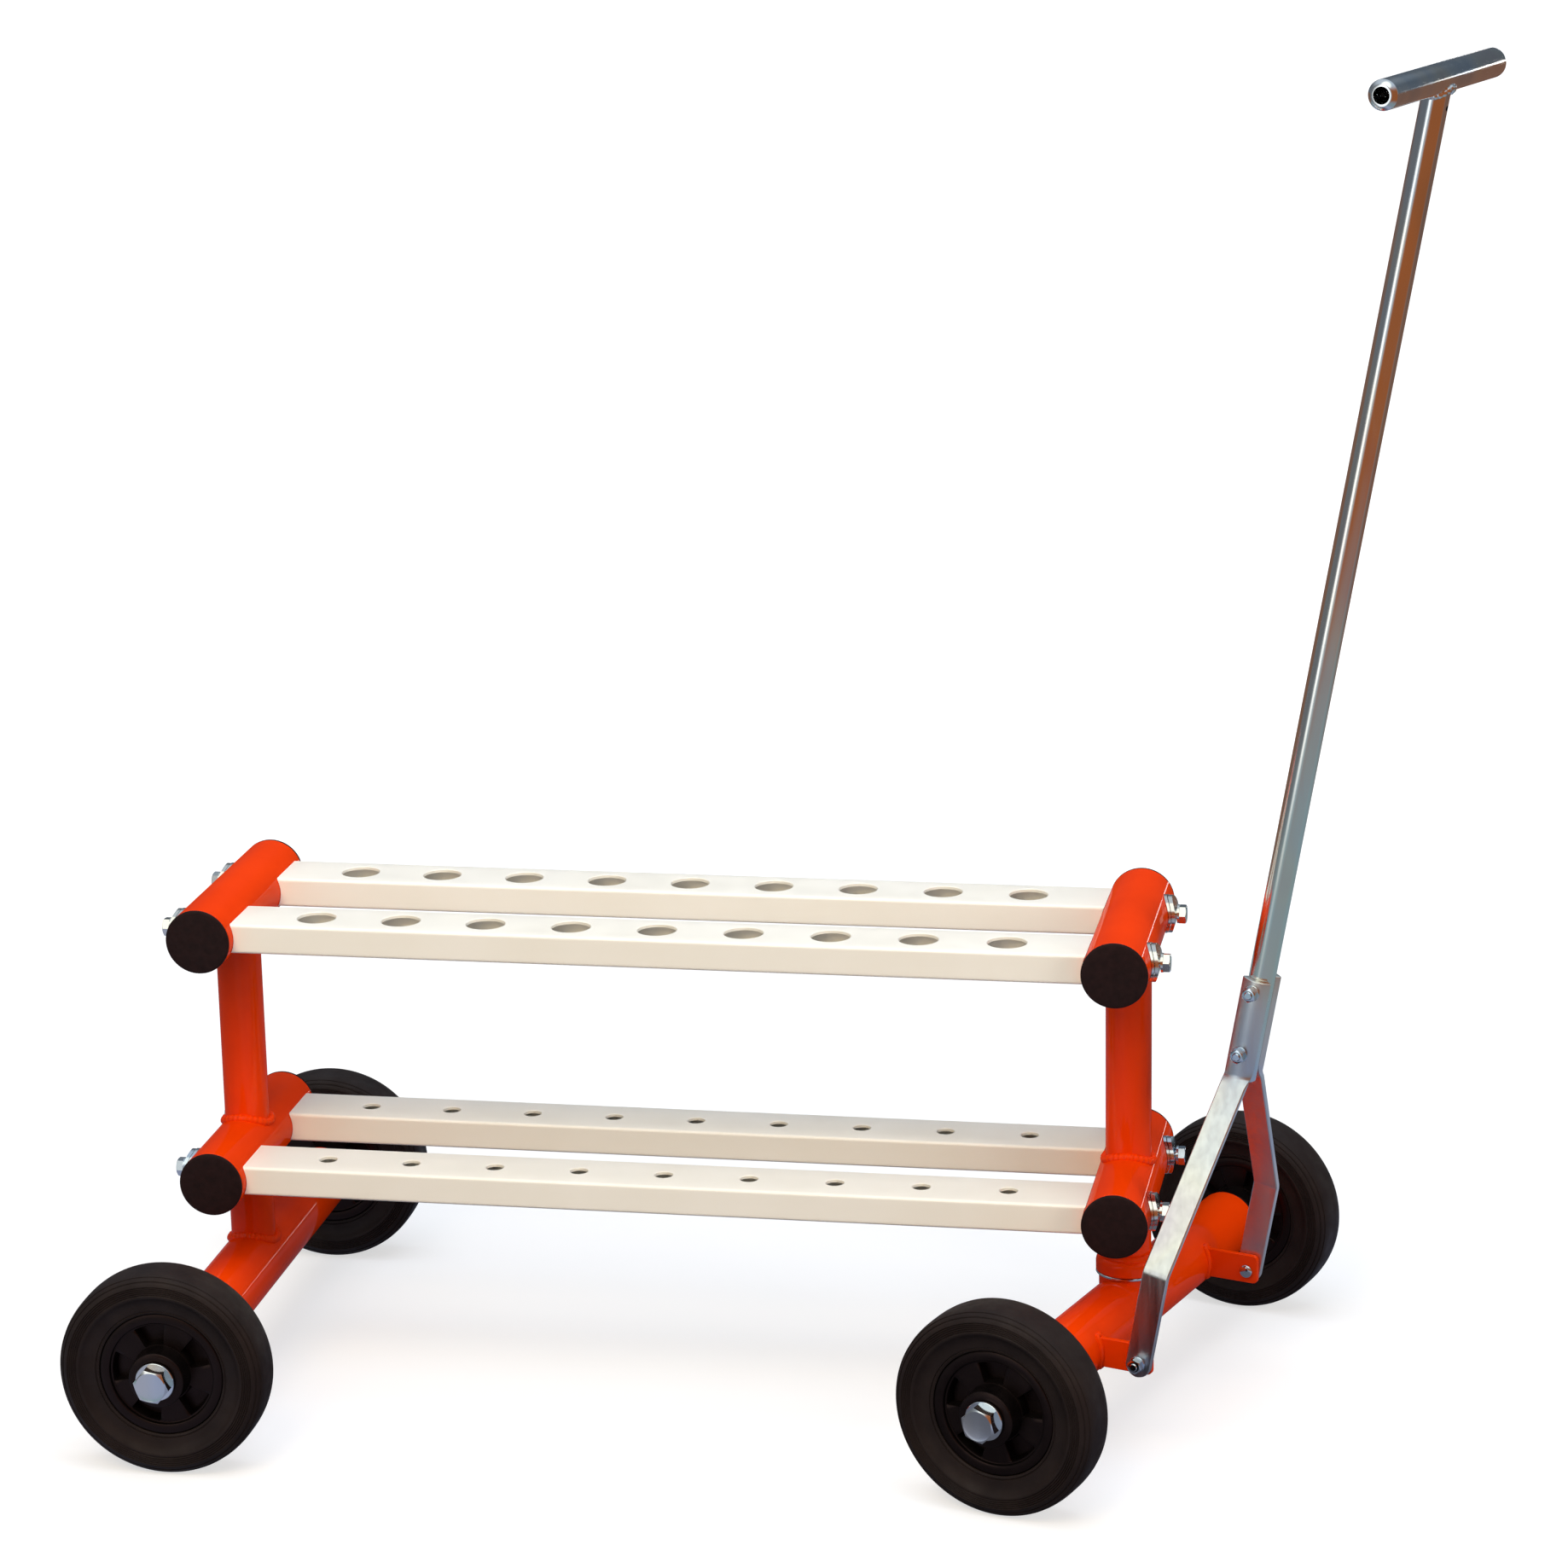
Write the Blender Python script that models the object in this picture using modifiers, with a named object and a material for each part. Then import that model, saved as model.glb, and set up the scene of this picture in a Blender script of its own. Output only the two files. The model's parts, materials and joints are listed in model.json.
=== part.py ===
"""Javelin cart: a four-wheeled rack that stands javelins upright in two tiers of holes.

Metres, +Z up, +X from the rear wheels to the drawbar, -Y the near side.
Two tube weldments carry four rails between them. The front axle steers on a kingpin under the
front post, and a drawbar folds on two lugs of that axle. The cart stands parked: its front axle
is turned a little to the near side and its drawbar leans forward.
"""
import math

import bmesh
import bpy
from mathutils import Matrix, Vector

# Fits
SEAT_GAP = 0.0003
HOLE_CLEARANCE = 0.0005
WHEEL_SIDE_PLAY = 0.0005
CUT_OVERRUN = 0.004
MERGE_DISTANCE = 0.00001

# Stance
STEER_ANGLE = math.radians(-18.0)
DRAWBAR_LEAN = math.radians(10.6)

# Chassis layout
WHEELBASE = 0.700
AXLE_HEIGHT = 0.080
BOTTOM_TUBE_HEIGHT = 0.179
TOP_TUBE_HEIGHT = 0.375

# Tubes and posts
TUBE_RADIUS = 0.025
TUBE_WALL = 0.0025
CROSS_TUBE_LENGTH = 0.1956
AXLE_TUBE_LENGTH = 0.386
AXLE_PLUG_LENGTH = 0.036
POST_RADIUS = 0.0175
POST_WALL = 0.0025
VENT_RADIUS = 0.005

# End caps of the cross tubes
CAP_THICKNESS = 0.0025
CAP_PLUG_DEPTH = 0.010

# Rails
RAIL_SPACING = 0.125
RAIL_WIDTH = 0.052
RAIL_HEIGHT = 0.023
RAIL_WALL = 0.0025
RAIL_EDGE_RADIUS = 0.002
RAIL_PLUG_LENGTH = 0.036
HOLE_COUNT = 9
HOLE_PITCH = 0.0665
SHAFT_HOLE_RADIUS = 0.015
POINT_HOLE_RADIUS = 0.007

# Rail bolts and their saddle washers
RAIL_BOLT_RADIUS = 0.005
RAIL_BOLT_GRIP = 0.028
RAIL_BOLT_FLATS = 0.017
RAIL_BOLT_HEAD = 0.0064
SPRING_WASHER_RADIUS = 0.0085
SPRING_WASHER_THICKNESS = 0.0016
SADDLE_RADIUS = 0.015
SADDLE_THICKNESS = 0.005

# Turntable and kingpin
COLLAR_RADIUS = 0.025
COLLAR_BOTTOM = 0.1085
COLLAR_THICKNESS = 0.0115
COLLAR_EDGE_RADIUS = 0.004
FLANGE_THICKNESS = 0.008
SLIP_WASHER_THICKNESS = 0.0019
KINGPIN_RADIUS = 0.008
KINGPIN_GRIP = 0.038
KINGPIN_FLATS = 0.024
KINGPIN_HEAD = 0.010
KINGPIN_SLEEVE_RADIUS = 0.014
KINGPIN_SLEEVE_DROP = 0.027

# Tyres
TYRE_WIDTH = 0.040
TYRE_CROWN_WIDTH = 0.016
TYRE_SHOULDER_WIDTH = 0.034
TYRE_SHOULDER_DROP = 0.0032
TYRE_SIDE_DROP = 0.0095
TYRE_SIDE_RADIUS = 0.062
TYRE_BAND_WIDTH = 0.031
TYRE_BAND_RADIUS = 0.053

# Rims
RIM_RADIUS = 0.048
RIM_WIDTH = 0.028
RIM_RING = 0.008
PAD_RECESS = 0.003
WEB_THICKNESS = 0.004
POCKET_COUNT = 5
POCKET_ANGLE = math.radians(37.0)
POCKET_MARGIN = 0.0012
HUB_RADIUS = 0.0215
HUB_LENGTH = 0.053

# Wheel bearings and bolts
HUB_STANDOFF = 0.0065
SLEEVE_RADIUS = 0.010
WHEEL_BOLT_RADIUS = 0.008
WHEEL_BOLT_GRIP = 0.030
WHEEL_BOLT_FLATS = 0.024
WHEEL_BOLT_HEAD = 0.010
HUB_WASHER_RADIUS = 0.015
HUB_WASHER_THICKNESS = 0.0027

# Drawbar lugs
PIVOT_REACH = 0.0565
LUG_THICKNESS = 0.004
LUG_INNER_FACE = 0.0997
LUG_NOSE = 0.009
LUG_TOP = 0.013
LUG_BOTTOM = 0.010
LUG_CORNER = 0.004

# Domed bolts of the pivots and the leg clamps, with their washers and nuts
DOMED_BOLT_RADIUS = 0.003
DOME_RADIUS = 0.0053
DOME_HEIGHT = 0.0033
DOME_STEM = 0.0013
NUT_WASHER_RADIUS = 0.006
NUT_WASHER_THICKNESS = 0.0016
NUT_FLATS = 0.010
NUT_HEIGHT = 0.006
BOLT_TAIL = 0.001

# Drawbar legs
LEG_WIDTH = 0.020
LEG_THICKNESS = 0.005
LEG_TAIL = 0.011
LEG_LOWER_BEND = 0.073
LEG_UPPER_BEND = 0.2035
LEG_BEND_RADIUS = 0.005
LEG_SHOULDER = 0.0085
LEG_NECK_WIDTH = 0.007
LEG_NECK_SINK = 0.0002
CLASP_ANGLE = math.radians(100.0)
CLASP_STEPS = 6
CLAMP_STATIONS = {"lower": 0.224, "upper": 0.274}
CLAMP_MARGIN = 0.009

# Handle tube and grip
HANDLE_RADIUS = 0.010
HANDLE_WALL = 0.002
HANDLE_BOTTOM = 0.200
HANDLE_VENT_RADIUS = 0.002
HANDLE_VENT_STATION = 0.943
GRIP_STATION = 0.962
GRIP_RADIUS = 0.011
GRIP_BORE_RADIUS = 0.006
GRIP_LENGTH = 0.2208
GRIP_CHAMFER = 0.0033

# Facets round each form
TUBE_STEPS = 20
POST_STEPS = 16
WHEEL_STEPS = 28
BOLT_STEPS = 12
SMALL_STEPS = 8
HANDLE_STEPS = 14
SHAFT_HOLE_STEPS = 16
POINT_HOLE_STEPS = 8
ARC_STEPS = 2
SMOOTH_ANGLE = math.radians(35.0)

# Colours in linear red, green and blue, with roughness and metallic
FINISHES = {
    "orange_paint": ((0.80, 0.055, 0.004), 0.25, 0.0),
    "cream_paint": ((0.92, 0.83, 0.66), 0.45, 0.0),
    "bright_zinc": ((0.72, 0.73, 0.70), 0.25, 1.0),
    "black_cap": ((0.018, 0.013, 0.012), 0.55, 0.0),
    "black_rim": ((0.022, 0.020, 0.020), 0.40, 0.0),
    "tyre_rubber": ((0.035, 0.030, 0.027), 0.70, 0.0),
    "sleeve_steel": ((0.55, 0.55, 0.55), 0.35, 1.0),
}

SIDES = {"near": -1, "far": 1}
ENDS = {"rear": -1, "front": 1}
WHEEL_PHASES = {"rear_near": math.radians(103.0), "rear_far": math.radians(38.6),
                "front_near": math.radians(92.0), "front_far": math.radians(12.9)}
X_AXIS = Vector((1, 0, 0))
Y_AXIS = Vector((0, 1, 0))
Z_AXIS = Vector((0, 0, 1))


# Scene

def clear_scene():
    for obj in list(bpy.data.objects):
        bpy.data.objects.remove(obj, do_unlink=True)


def new_collection(name):
    collection = bpy.data.collections.new(name)
    bpy.context.scene.collection.children.link(collection)
    return collection


def principled(name, colour, roughness, metallic):
    material = bpy.data.materials.new(name)
    material.use_nodes = True
    shader = material.node_tree.nodes["Principled BSDF"]
    shader.inputs["Base Color"].default_value = (*colour, 1.0)
    shader.inputs["Roughness"].default_value = roughness
    shader.inputs["Metallic"].default_value = metallic
    material.diffuse_color = (*colour, 1.0)
    return material


def joint_frame(name, parent, place):
    """Empty on a joint's axis; the pieces that move with the joint are its children."""
    guide = bpy.data.objects.new(name, None)
    CART.objects.link(guide)
    guide.parent = parent
    guide.matrix_local = place
    return guide


# Modelling tools

def new_object(name, mesh, parent, place=Matrix()):
    obj = bpy.data.objects.new(name, mesh)
    CART.objects.link(obj)
    obj.parent = parent
    obj.matrix_local = place
    return obj


def discard(*objects):
    for obj in objects:
        bpy.data.objects.remove(obj, do_unlink=True)


def baked(obj):
    """The object as one welded mesh in its parent's frame, its curve or modifiers applied."""
    bpy.context.view_layer.update()
    graph = bpy.context.evaluated_depsgraph_get()
    mesh = bpy.data.meshes.new_from_object(obj.evaluated_get(graph))
    mesh.transform(obj.matrix_local)
    shape = bmesh.new()
    shape.from_mesh(mesh)
    bmesh.ops.remove_doubles(shape, verts=shape.verts, dist=MERGE_DISTANCE)
    shape.to_mesh(mesh)
    shape.free()
    name, parent = obj.name, obj.parent
    discard(obj)
    return new_object(name, mesh, parent)


def primitive(name, parent, create, **options):
    """Object from one of bmesh's primitives."""
    shape = bmesh.new()
    create(shape, **options)
    mesh = bpy.data.meshes.new(name)
    shape.to_mesh(mesh)
    shape.free()
    return new_object(name, mesh, parent)


def bar(name, radius, low, high, parent, axis=Z_AXIS, centre=(0, 0, 0), steps=TUBE_STEPS):
    """Round bar along an axis through a point, its ends low and high from that point."""
    turn = Z_AXIS.rotation_difference(axis).to_matrix().to_4x4()
    place = Matrix.Translation(centre) @ turn @ Matrix.Translation((0, 0, (low + high) / 2))
    return primitive(name, parent, bmesh.ops.create_cone, cap_ends=True, segments=steps,
                     radius1=radius, radius2=radius, depth=high - low, matrix=place)


def block(name, low, high, parent):
    """Box between two corners."""
    low, high = Vector(low), Vector(high)
    place = Matrix.Translation((low + high) / 2) @ Matrix.Diagonal((*(high - low), 1.0))
    return primitive(name, parent, bmesh.ops.create_cube, size=1.0, matrix=place)


def turned(name, profile, parent, place=Matrix(), steps=TUBE_STEPS):
    """Solid turned about Z from (radius, height) points that run down its outer side."""
    shape = bmesh.new()
    points = [shape.verts.new((radius, 0, height)) for radius, height in profile]
    for start, end in zip(points, points[1:]):
        shape.edges.new((start, end))
    if profile[0][0] > 0:
        shape.edges.new((points[-1], points[0]))
    mesh = bpy.data.meshes.new(name)
    shape.to_mesh(mesh)
    shape.free()
    obj = new_object(name, mesh, parent, place)
    screw = obj.modifiers.new("Turn", "SCREW")
    screw.axis = "Z"
    screw.steps = steps
    screw.render_steps = steps
    screw.use_merge_vertices = True
    screw.merge_threshold = MERGE_DISTANCE
    return baked(obj)


def extruded(name, outline, low, high, parent, place=Matrix()):
    """Flat outline in XY, solid from low to high along Z."""
    curve = bpy.data.curves.new(name, "CURVE")
    curve.dimensions = "2D"
    curve.fill_mode = "BOTH"
    curve.extrude = (high - low) / 2
    spline = curve.splines.new("POLY")
    spline.points.add(len(outline) - 1)
    for point, (across, along) in zip(spline.points, outline):
        point.co = (across, along, 0, 1)
    spline.use_cyclic_u = True
    lift = Matrix.Translation((0, 0, (low + high) / 2))
    return baked(new_object(name, curve, parent, place @ lift))


def rounded(corners):
    """Outline from (x, y, radius) corners, each radius above 0 an arc tangent to both sides."""
    outline = []
    for index, (x, y, radius) in enumerate(corners):
        corner = Vector((x, y))
        if radius == 0:
            outline.append((x, y))
            continue
        back = (Vector(corners[index - 1][:2]) - corner).normalized()
        ahead = (Vector(corners[(index + 1) % len(corners)][:2]) - corner).normalized()
        half = back.angle(ahead) / 2
        centre = corner + (back + ahead).normalized() * radius / math.sin(half)
        first = corner + back * radius / math.tan(half) - centre
        last = corner + ahead * radius / math.tan(half) - centre
        start = math.atan2(first.y, first.x)
        sweep = math.remainder(math.atan2(last.y, last.x) - start, math.tau)
        for step in range(ARC_STEPS + 1):
            angle = start + sweep * step / ARC_STEPS
            outline.append((centre.x + radius * math.cos(angle), centre.y + radius * math.sin(angle)))
    return outline


def combined(target, steps):
    """Target after exact Booleans, one for each (operation, tool) step; the tools are used up."""
    tools = []
    for operation, tool in steps:
        CART.objects.unlink(tool)
        CUTTERS.objects.link(tool)
        tool.hide_render = True
        tool.display_type = "WIRE"
        modifier = target.modifiers.new(tool.name, "BOOLEAN")
        modifier.operation = operation
        modifier.solver = "EXACT"
        modifier.object = tool
        tools.append(tool)
    result = baked(target)
    discard(*tools)
    return result


def added(target, *tools):
    return combined(target, [("UNION", tool) for tool in tools])


def cut(target, *tools):
    return combined(target, [("DIFFERENCE", tool) for tool in tools])


def common(target, *tools):
    return combined(target, [("INTERSECT", tool) for tool in tools])


def row(name, pieces):
    """One cutter from several that lie apart in the same frame."""
    shape = bmesh.new()
    parent = pieces[0].parent
    for piece in pieces:
        shape.from_mesh(piece.data)
    mesh = bpy.data.meshes.new(name)
    shape.to_mesh(mesh)
    shape.free()
    discard(*pieces)
    return new_object(name, mesh, parent)


def finished(obj, name, finish):
    """Final name, material and shading of a piece."""
    obj.name = name
    obj.data.name = name
    obj.data.materials.clear()
    obj.data.materials.append(MATERIALS[finish])
    obj.data.shade_smooth()
    obj.data.set_sharp_from_angle(angle=SMOOTH_ANGLE)
    return obj


def placed_copies(master, finish, places):
    """One object for each (name, parent, place), all sharing the master's mesh."""
    (first_name, first_parent, first_place), *others = places
    master.parent = first_parent
    master.matrix_local = first_place
    finished(master, first_name, finish)
    for name, parent, place in others:
        new_object(name, master.data, parent, place)


def outward(side):
    """Turn that carries +Z to the outside of a side and keeps X."""
    return Matrix.Rotation(math.radians(-90 * SIDES[side]), 4, "X")


def hexagon(flats):
    radius = flats / math.sqrt(3)
    return [(radius * math.cos(corner * math.pi / 3), radius * math.sin(corner * math.pi / 3))
            for corner in range(6)]


def hex_prism(name, flats, base, top, parent):
    return extruded(name, hexagon(flats), base, top, parent)


def turned_hex(name, flats, base, top, parent):
    """Hexagon along Z whose outer corners are turned off at the top."""
    prism = hex_prism(name, flats, base, top, parent)
    corner = flats / math.sqrt(3)
    drop = (corner - flats / 2) * math.tan(math.radians(30))
    wide = corner + CUT_OVERRUN
    slope = CUT_OVERRUN * math.tan(math.radians(30))
    profile = [(0, top), (flats / 2, top), (wide, top - drop - slope), (wide, base - CUT_OVERRUN),
               (0, base - CUT_OVERRUN)]
    return common(prism, turned(name + "_corners", profile, parent, steps=BOLT_STEPS))


# Frames

def tube_outer(name, length, height, parent):
    return bar(name, TUBE_RADIUS, -length / 2, length / 2, parent, Y_AXIS, (0, 0, height))


def tube_hollow(name, length, height, parent):
    radius = TUBE_RADIUS - TUBE_WALL
    return bar(name, radius, -length / 2, length / 2, parent, Y_AXIS, (0, 0, height))


def cross_tube_hollows(name, parent):
    length = CROSS_TUBE_LENGTH + 2 * CUT_OVERRUN
    return [tube_hollow(name + "_bottom", length, BOTTOM_TUBE_HEIGHT, parent),
            tube_hollow(name + "_top", length, TOP_TUBE_HEIGHT, parent)]


def axle_hollow(name, parent):
    return tube_hollow(name, AXLE_TUBE_LENGTH - 2 * AXLE_PLUG_LENGTH, AXLE_HEIGHT, parent)


def post_bore(name, lower_stages, parent):
    """Stepped bore of a post: the stages given, then hollow and vents up to the top tube."""
    bore = POST_RADIUS - POST_WALL
    below = BOTTOM_TUBE_HEIGHT - TUBE_RADIUS
    low = BOTTOM_TUBE_HEIGHT + TUBE_RADIUS
    high = TOP_TUBE_HEIGHT - TUBE_RADIUS
    stages = lower_stages + [(VENT_RADIUS, below, low), (bore, low, high),
                             (VENT_RADIUS, high, TOP_TUBE_HEIGHT)]
    profile = [(0, TOP_TUBE_HEIGHT)]
    for radius, start, end in reversed(stages):
        profile += [(radius, end), (radius, start)]
    profile.append((0, stages[0][1]))
    return turned(name, profile, parent, steps=BOLT_STEPS)


def rail_bolt_bores(name, parent):
    """Bores through both cross tubes on the line of each rail."""
    reach = TUBE_RADIUS + CUT_OVERRUN
    radius = RAIL_BOLT_RADIUS + HOLE_CLEARANCE
    bores = [bar(name, radius, -reach, reach, parent, X_AXIS, (0, sign * RAIL_SPACING / 2, height),
                 SMALL_STEPS)
             for height in (BOTTOM_TUBE_HEIGHT, TOP_TUBE_HEIGHT) for sign in SIDES.values()]
    return row(name, bores)


def wheel_bolt_bores(name, parent):
    """Bores through the end plugs of an axle tube into its hollow."""
    end = AXLE_TUBE_LENGTH / 2
    radius = WHEEL_BOLT_RADIUS + HOLE_CLEARANCE
    bores = [bar(name, radius, end - AXLE_PLUG_LENGTH - CUT_OVERRUN, end + CUT_OVERRUN, parent,
                 Y_AXIS * sign, (0, 0, AXLE_HEIGHT), BOLT_STEPS) for sign in SIDES.values()]
    return row(name, bores)


def make_rear_frame(chassis):
    frame = tube_outer("rear_frame", CROSS_TUBE_LENGTH, TOP_TUBE_HEIGHT, chassis)
    frame = added(
        frame,
        tube_outer("rear_bottom_tube", CROSS_TUBE_LENGTH, BOTTOM_TUBE_HEIGHT, chassis),
        tube_outer("rear_axle_tube", AXLE_TUBE_LENGTH, AXLE_HEIGHT, chassis),
        bar("rear_post", POST_RADIUS, AXLE_HEIGHT, TOP_TUBE_HEIGHT, chassis, steps=POST_STEPS))
    hollows = cross_tube_hollows("rear_hollow", chassis) + [axle_hollow("rear_axle_hollow", chassis)]
    axle_top = AXLE_HEIGHT + TUBE_RADIUS
    stages = [(VENT_RADIUS, AXLE_HEIGHT, axle_top),
              (POST_RADIUS - POST_WALL, axle_top, BOTTOM_TUBE_HEIGHT - TUBE_RADIUS)]
    frame = cut(
        frame,
        row("rear_hollows", hollows),
        post_bore("rear_post_bore", stages, chassis),
        rail_bolt_bores("rear_bolt_bores", chassis),
        wheel_bolt_bores("rear_wheel_bores", chassis))
    finished(frame, "rear_frame", "orange_paint")


def make_front_frame(chassis):
    """Front weldment, modelled round its post and moved forward by the wheelbase."""
    station = joint_frame("front_post_line", chassis, Matrix.Translation((WHEELBASE, 0, 0)))
    frame = tube_outer("front_frame", CROSS_TUBE_LENGTH, TOP_TUBE_HEIGHT, station)
    collar_top = COLLAR_BOTTOM + COLLAR_THICKNESS
    edge = COLLAR_EDGE_RADIUS
    arc = [(COLLAR_RADIUS - edge + edge * math.sin(math.radians(angle)),
            collar_top - edge + edge * math.cos(math.radians(angle))) for angle in (0, 30, 60, 90)]
    profile = [(0, collar_top)] + arc + [(COLLAR_RADIUS, COLLAR_BOTTOM), (0, COLLAR_BOTTOM)]
    frame = added(
        frame,
        tube_outer("front_bottom_tube", CROSS_TUBE_LENGTH, BOTTOM_TUBE_HEIGHT, station),
        bar("front_post", POST_RADIUS, COLLAR_BOTTOM + edge, TOP_TUBE_HEIGHT, station, steps=POST_STEPS),
        turned("collar", profile, station))
    thread = (KINGPIN_RADIUS + HOLE_CLEARANCE, COLLAR_BOTTOM - CUT_OVERRUN,
              BOTTOM_TUBE_HEIGHT - TUBE_RADIUS)
    frame = cut(
        frame,
        row("front_hollows", cross_tube_hollows("front_hollow", station)),
        post_bore("front_post_bore", [thread], station),
        rail_bolt_bores("front_bolt_bores", station))
    finished(frame, "front_frame", "orange_paint")


def make_end_caps(chassis):
    """Moulded caps that close the cross tubes, seated with a gap on tube end and tube wall."""
    plug = TUBE_RADIUS - TUBE_WALL - SEAT_GAP
    profile = [(0, CAP_THICKNESS), (TUBE_RADIUS, CAP_THICKNESS), (TUBE_RADIUS, 0), (plug, 0),
               (plug, -CAP_PLUG_DEPTH), (0, -CAP_PLUG_DEPTH)]
    cap = turned("end_cap", profile, chassis)
    reach = CROSS_TUBE_LENGTH / 2 + SEAT_GAP
    places = []
    for end, height, level, side in tube_ends():
        centre = (WHEELBASE if end == "front" else 0, SIDES[side] * reach, height)
        places.append((f"end_cap_{end}_{level}_{side}", chassis,
                       Matrix.Translation(centre) @ outward(side)))
    placed_copies(cap, "black_cap", places)


def tube_ends():
    """Every end of every cross tube, which is also every end of every rail."""
    levels = {"bottom": BOTTOM_TUBE_HEIGHT, "top": TOP_TUBE_HEIGHT}
    return [(end, height, level, side) for end in ENDS for level, height in levels.items()
            for side in SIDES]


# Rails

def make_rail(level, side, chassis):
    """Hollow rail coped to both cross tubes, with a solid plug in each end for its bolt."""
    height = TOP_TUBE_HEIGHT if level == "top" else BOTTOM_TUBE_HEIGHT
    middle = SIDES[side] * RAIL_SPACING / 2
    low = Vector((0, middle - RAIL_WIDTH / 2, height - RAIL_HEIGHT / 2))
    high = Vector((WHEELBASE, middle + RAIL_WIDTH / 2, height + RAIL_HEIGHT / 2))
    rail = block(f"{level}_rail_{side}", low, high, chassis)
    edges = rail.modifiers.new("Edges", "BEVEL")
    edges.width = RAIL_EDGE_RADIUS
    edges.segments = 2
    rail = baked(rail)
    cope_radius = TUBE_RADIUS + SEAT_GAP
    cope_reach = RAIL_WIDTH / 2 + CUT_OVERRUN
    wall = Vector((0, RAIL_WALL, RAIL_WALL))
    plug = Vector((cope_radius + RAIL_PLUG_LENGTH, 0, 0))
    bolt_depth = TUBE_RADIUS + RAIL_BOLT_GRIP + CUT_OVERRUN / 2
    bolt_bore = RAIL_BOLT_RADIUS + HOLE_CLEARANCE
    ends = []
    for foot, inward in ((0, X_AXIS), (WHEELBASE, -X_AXIS)):
        ends.append(bar("cope", cope_radius, -cope_reach, cope_reach, chassis, Y_AXIS,
                        (foot, middle, height)))
        bore = bar("bolt_bore", bolt_bore, 0, bolt_depth, chassis, inward, (foot, middle, height),
                   SMALL_STEPS)
        ends[-1] = added(ends[-1], bore)
    radius, steps = SHAFT_HOLE_RADIUS, SHAFT_HOLE_STEPS
    if level == "bottom":
        radius, steps = POINT_HOLE_RADIUS, POINT_HOLE_STEPS
    reach = RAIL_HEIGHT / 2 + CUT_OVERRUN
    holes = [bar("hole", radius, -reach, reach, chassis, Z_AXIS, (place, middle, height), steps)
             for place in hole_places()]
    hollow = block("hollow", low + wall + plug, high - wall - plug, chassis)
    rail = cut(rail, row("ends", ends), hollow, row("holes", holes))
    finished(rail, f"{level}_rail_{side}", "cream_paint")


def hole_places():
    """Distances of the holes from the rear post, centred between the posts."""
    first = WHEELBASE / 2 - HOLE_PITCH * (HOLE_COUNT - 1) / 2
    return [first + HOLE_PITCH * index for index in range(HOLE_COUNT)]


def make_rail_bolts(chassis):
    """Bolts through the cross tubes into the rails' plugs; +Z points away from the rail."""
    saddle_inner = TUBE_RADIUS + SEAT_GAP
    saddle_outer = saddle_inner + SADDLE_THICKNESS
    reach = SADDLE_RADIUS + CUT_OVERRUN
    saddle = bar("saddle", SADDLE_RADIUS, 0, saddle_outer + CUT_OVERRUN, chassis, steps=BOLT_STEPS)
    saddle = common(saddle, bar("saddle_back", saddle_outer, -reach, reach, chassis, Y_AXIS))
    saddle = cut(saddle,
                 bar("saddle_seat", saddle_inner, -reach, reach, chassis, Y_AXIS),
                 bar("saddle_bore", RAIL_BOLT_RADIUS + HOLE_CLEARANCE, 0, saddle_outer + CUT_OVERRUN,
                     chassis, steps=SMALL_STEPS))
    washer_base = saddle_outer + SEAT_GAP
    washer_top = washer_base + SPRING_WASHER_THICKNESS
    tip = -(TUBE_RADIUS + RAIL_BOLT_GRIP)
    shank = turned("rail_bolt_shank", [
        (0, washer_top), (SPRING_WASHER_RADIUS, washer_top), (SPRING_WASHER_RADIUS, washer_base),
        (RAIL_BOLT_RADIUS, washer_base), (RAIL_BOLT_RADIUS, tip), (0, tip)], chassis, steps=SMALL_STEPS)
    head_top = washer_top + RAIL_BOLT_HEAD
    bolt = added(hex_prism("rail_bolt", RAIL_BOLT_FLATS, washer_top, head_top, chassis), shank)
    bolt_places = []
    saddle_places = []
    for end, height, level, side in tube_ends():
        foot = WHEELBASE if end == "front" else 0
        place = Matrix.Translation((foot, SIDES[side] * RAIL_SPACING / 2, height))
        place = place @ Matrix.Rotation(math.radians(90 * ENDS[end]), 4, "Y")
        bolt_places.append((f"rail_bolt_{end}_{level}_{side}", chassis, place))
        saddle_places.append((f"saddle_washer_{end}_{level}_{side}", chassis, place))
    placed_copies(bolt, "bright_zinc", bolt_places)
    placed_copies(saddle, "bright_zinc", saddle_places)


# Front axle and its turntable

def flange_top():
    return COLLAR_BOTTOM - SEAT_GAP - SLIP_WASHER_THICKNESS - SEAT_GAP


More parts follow.
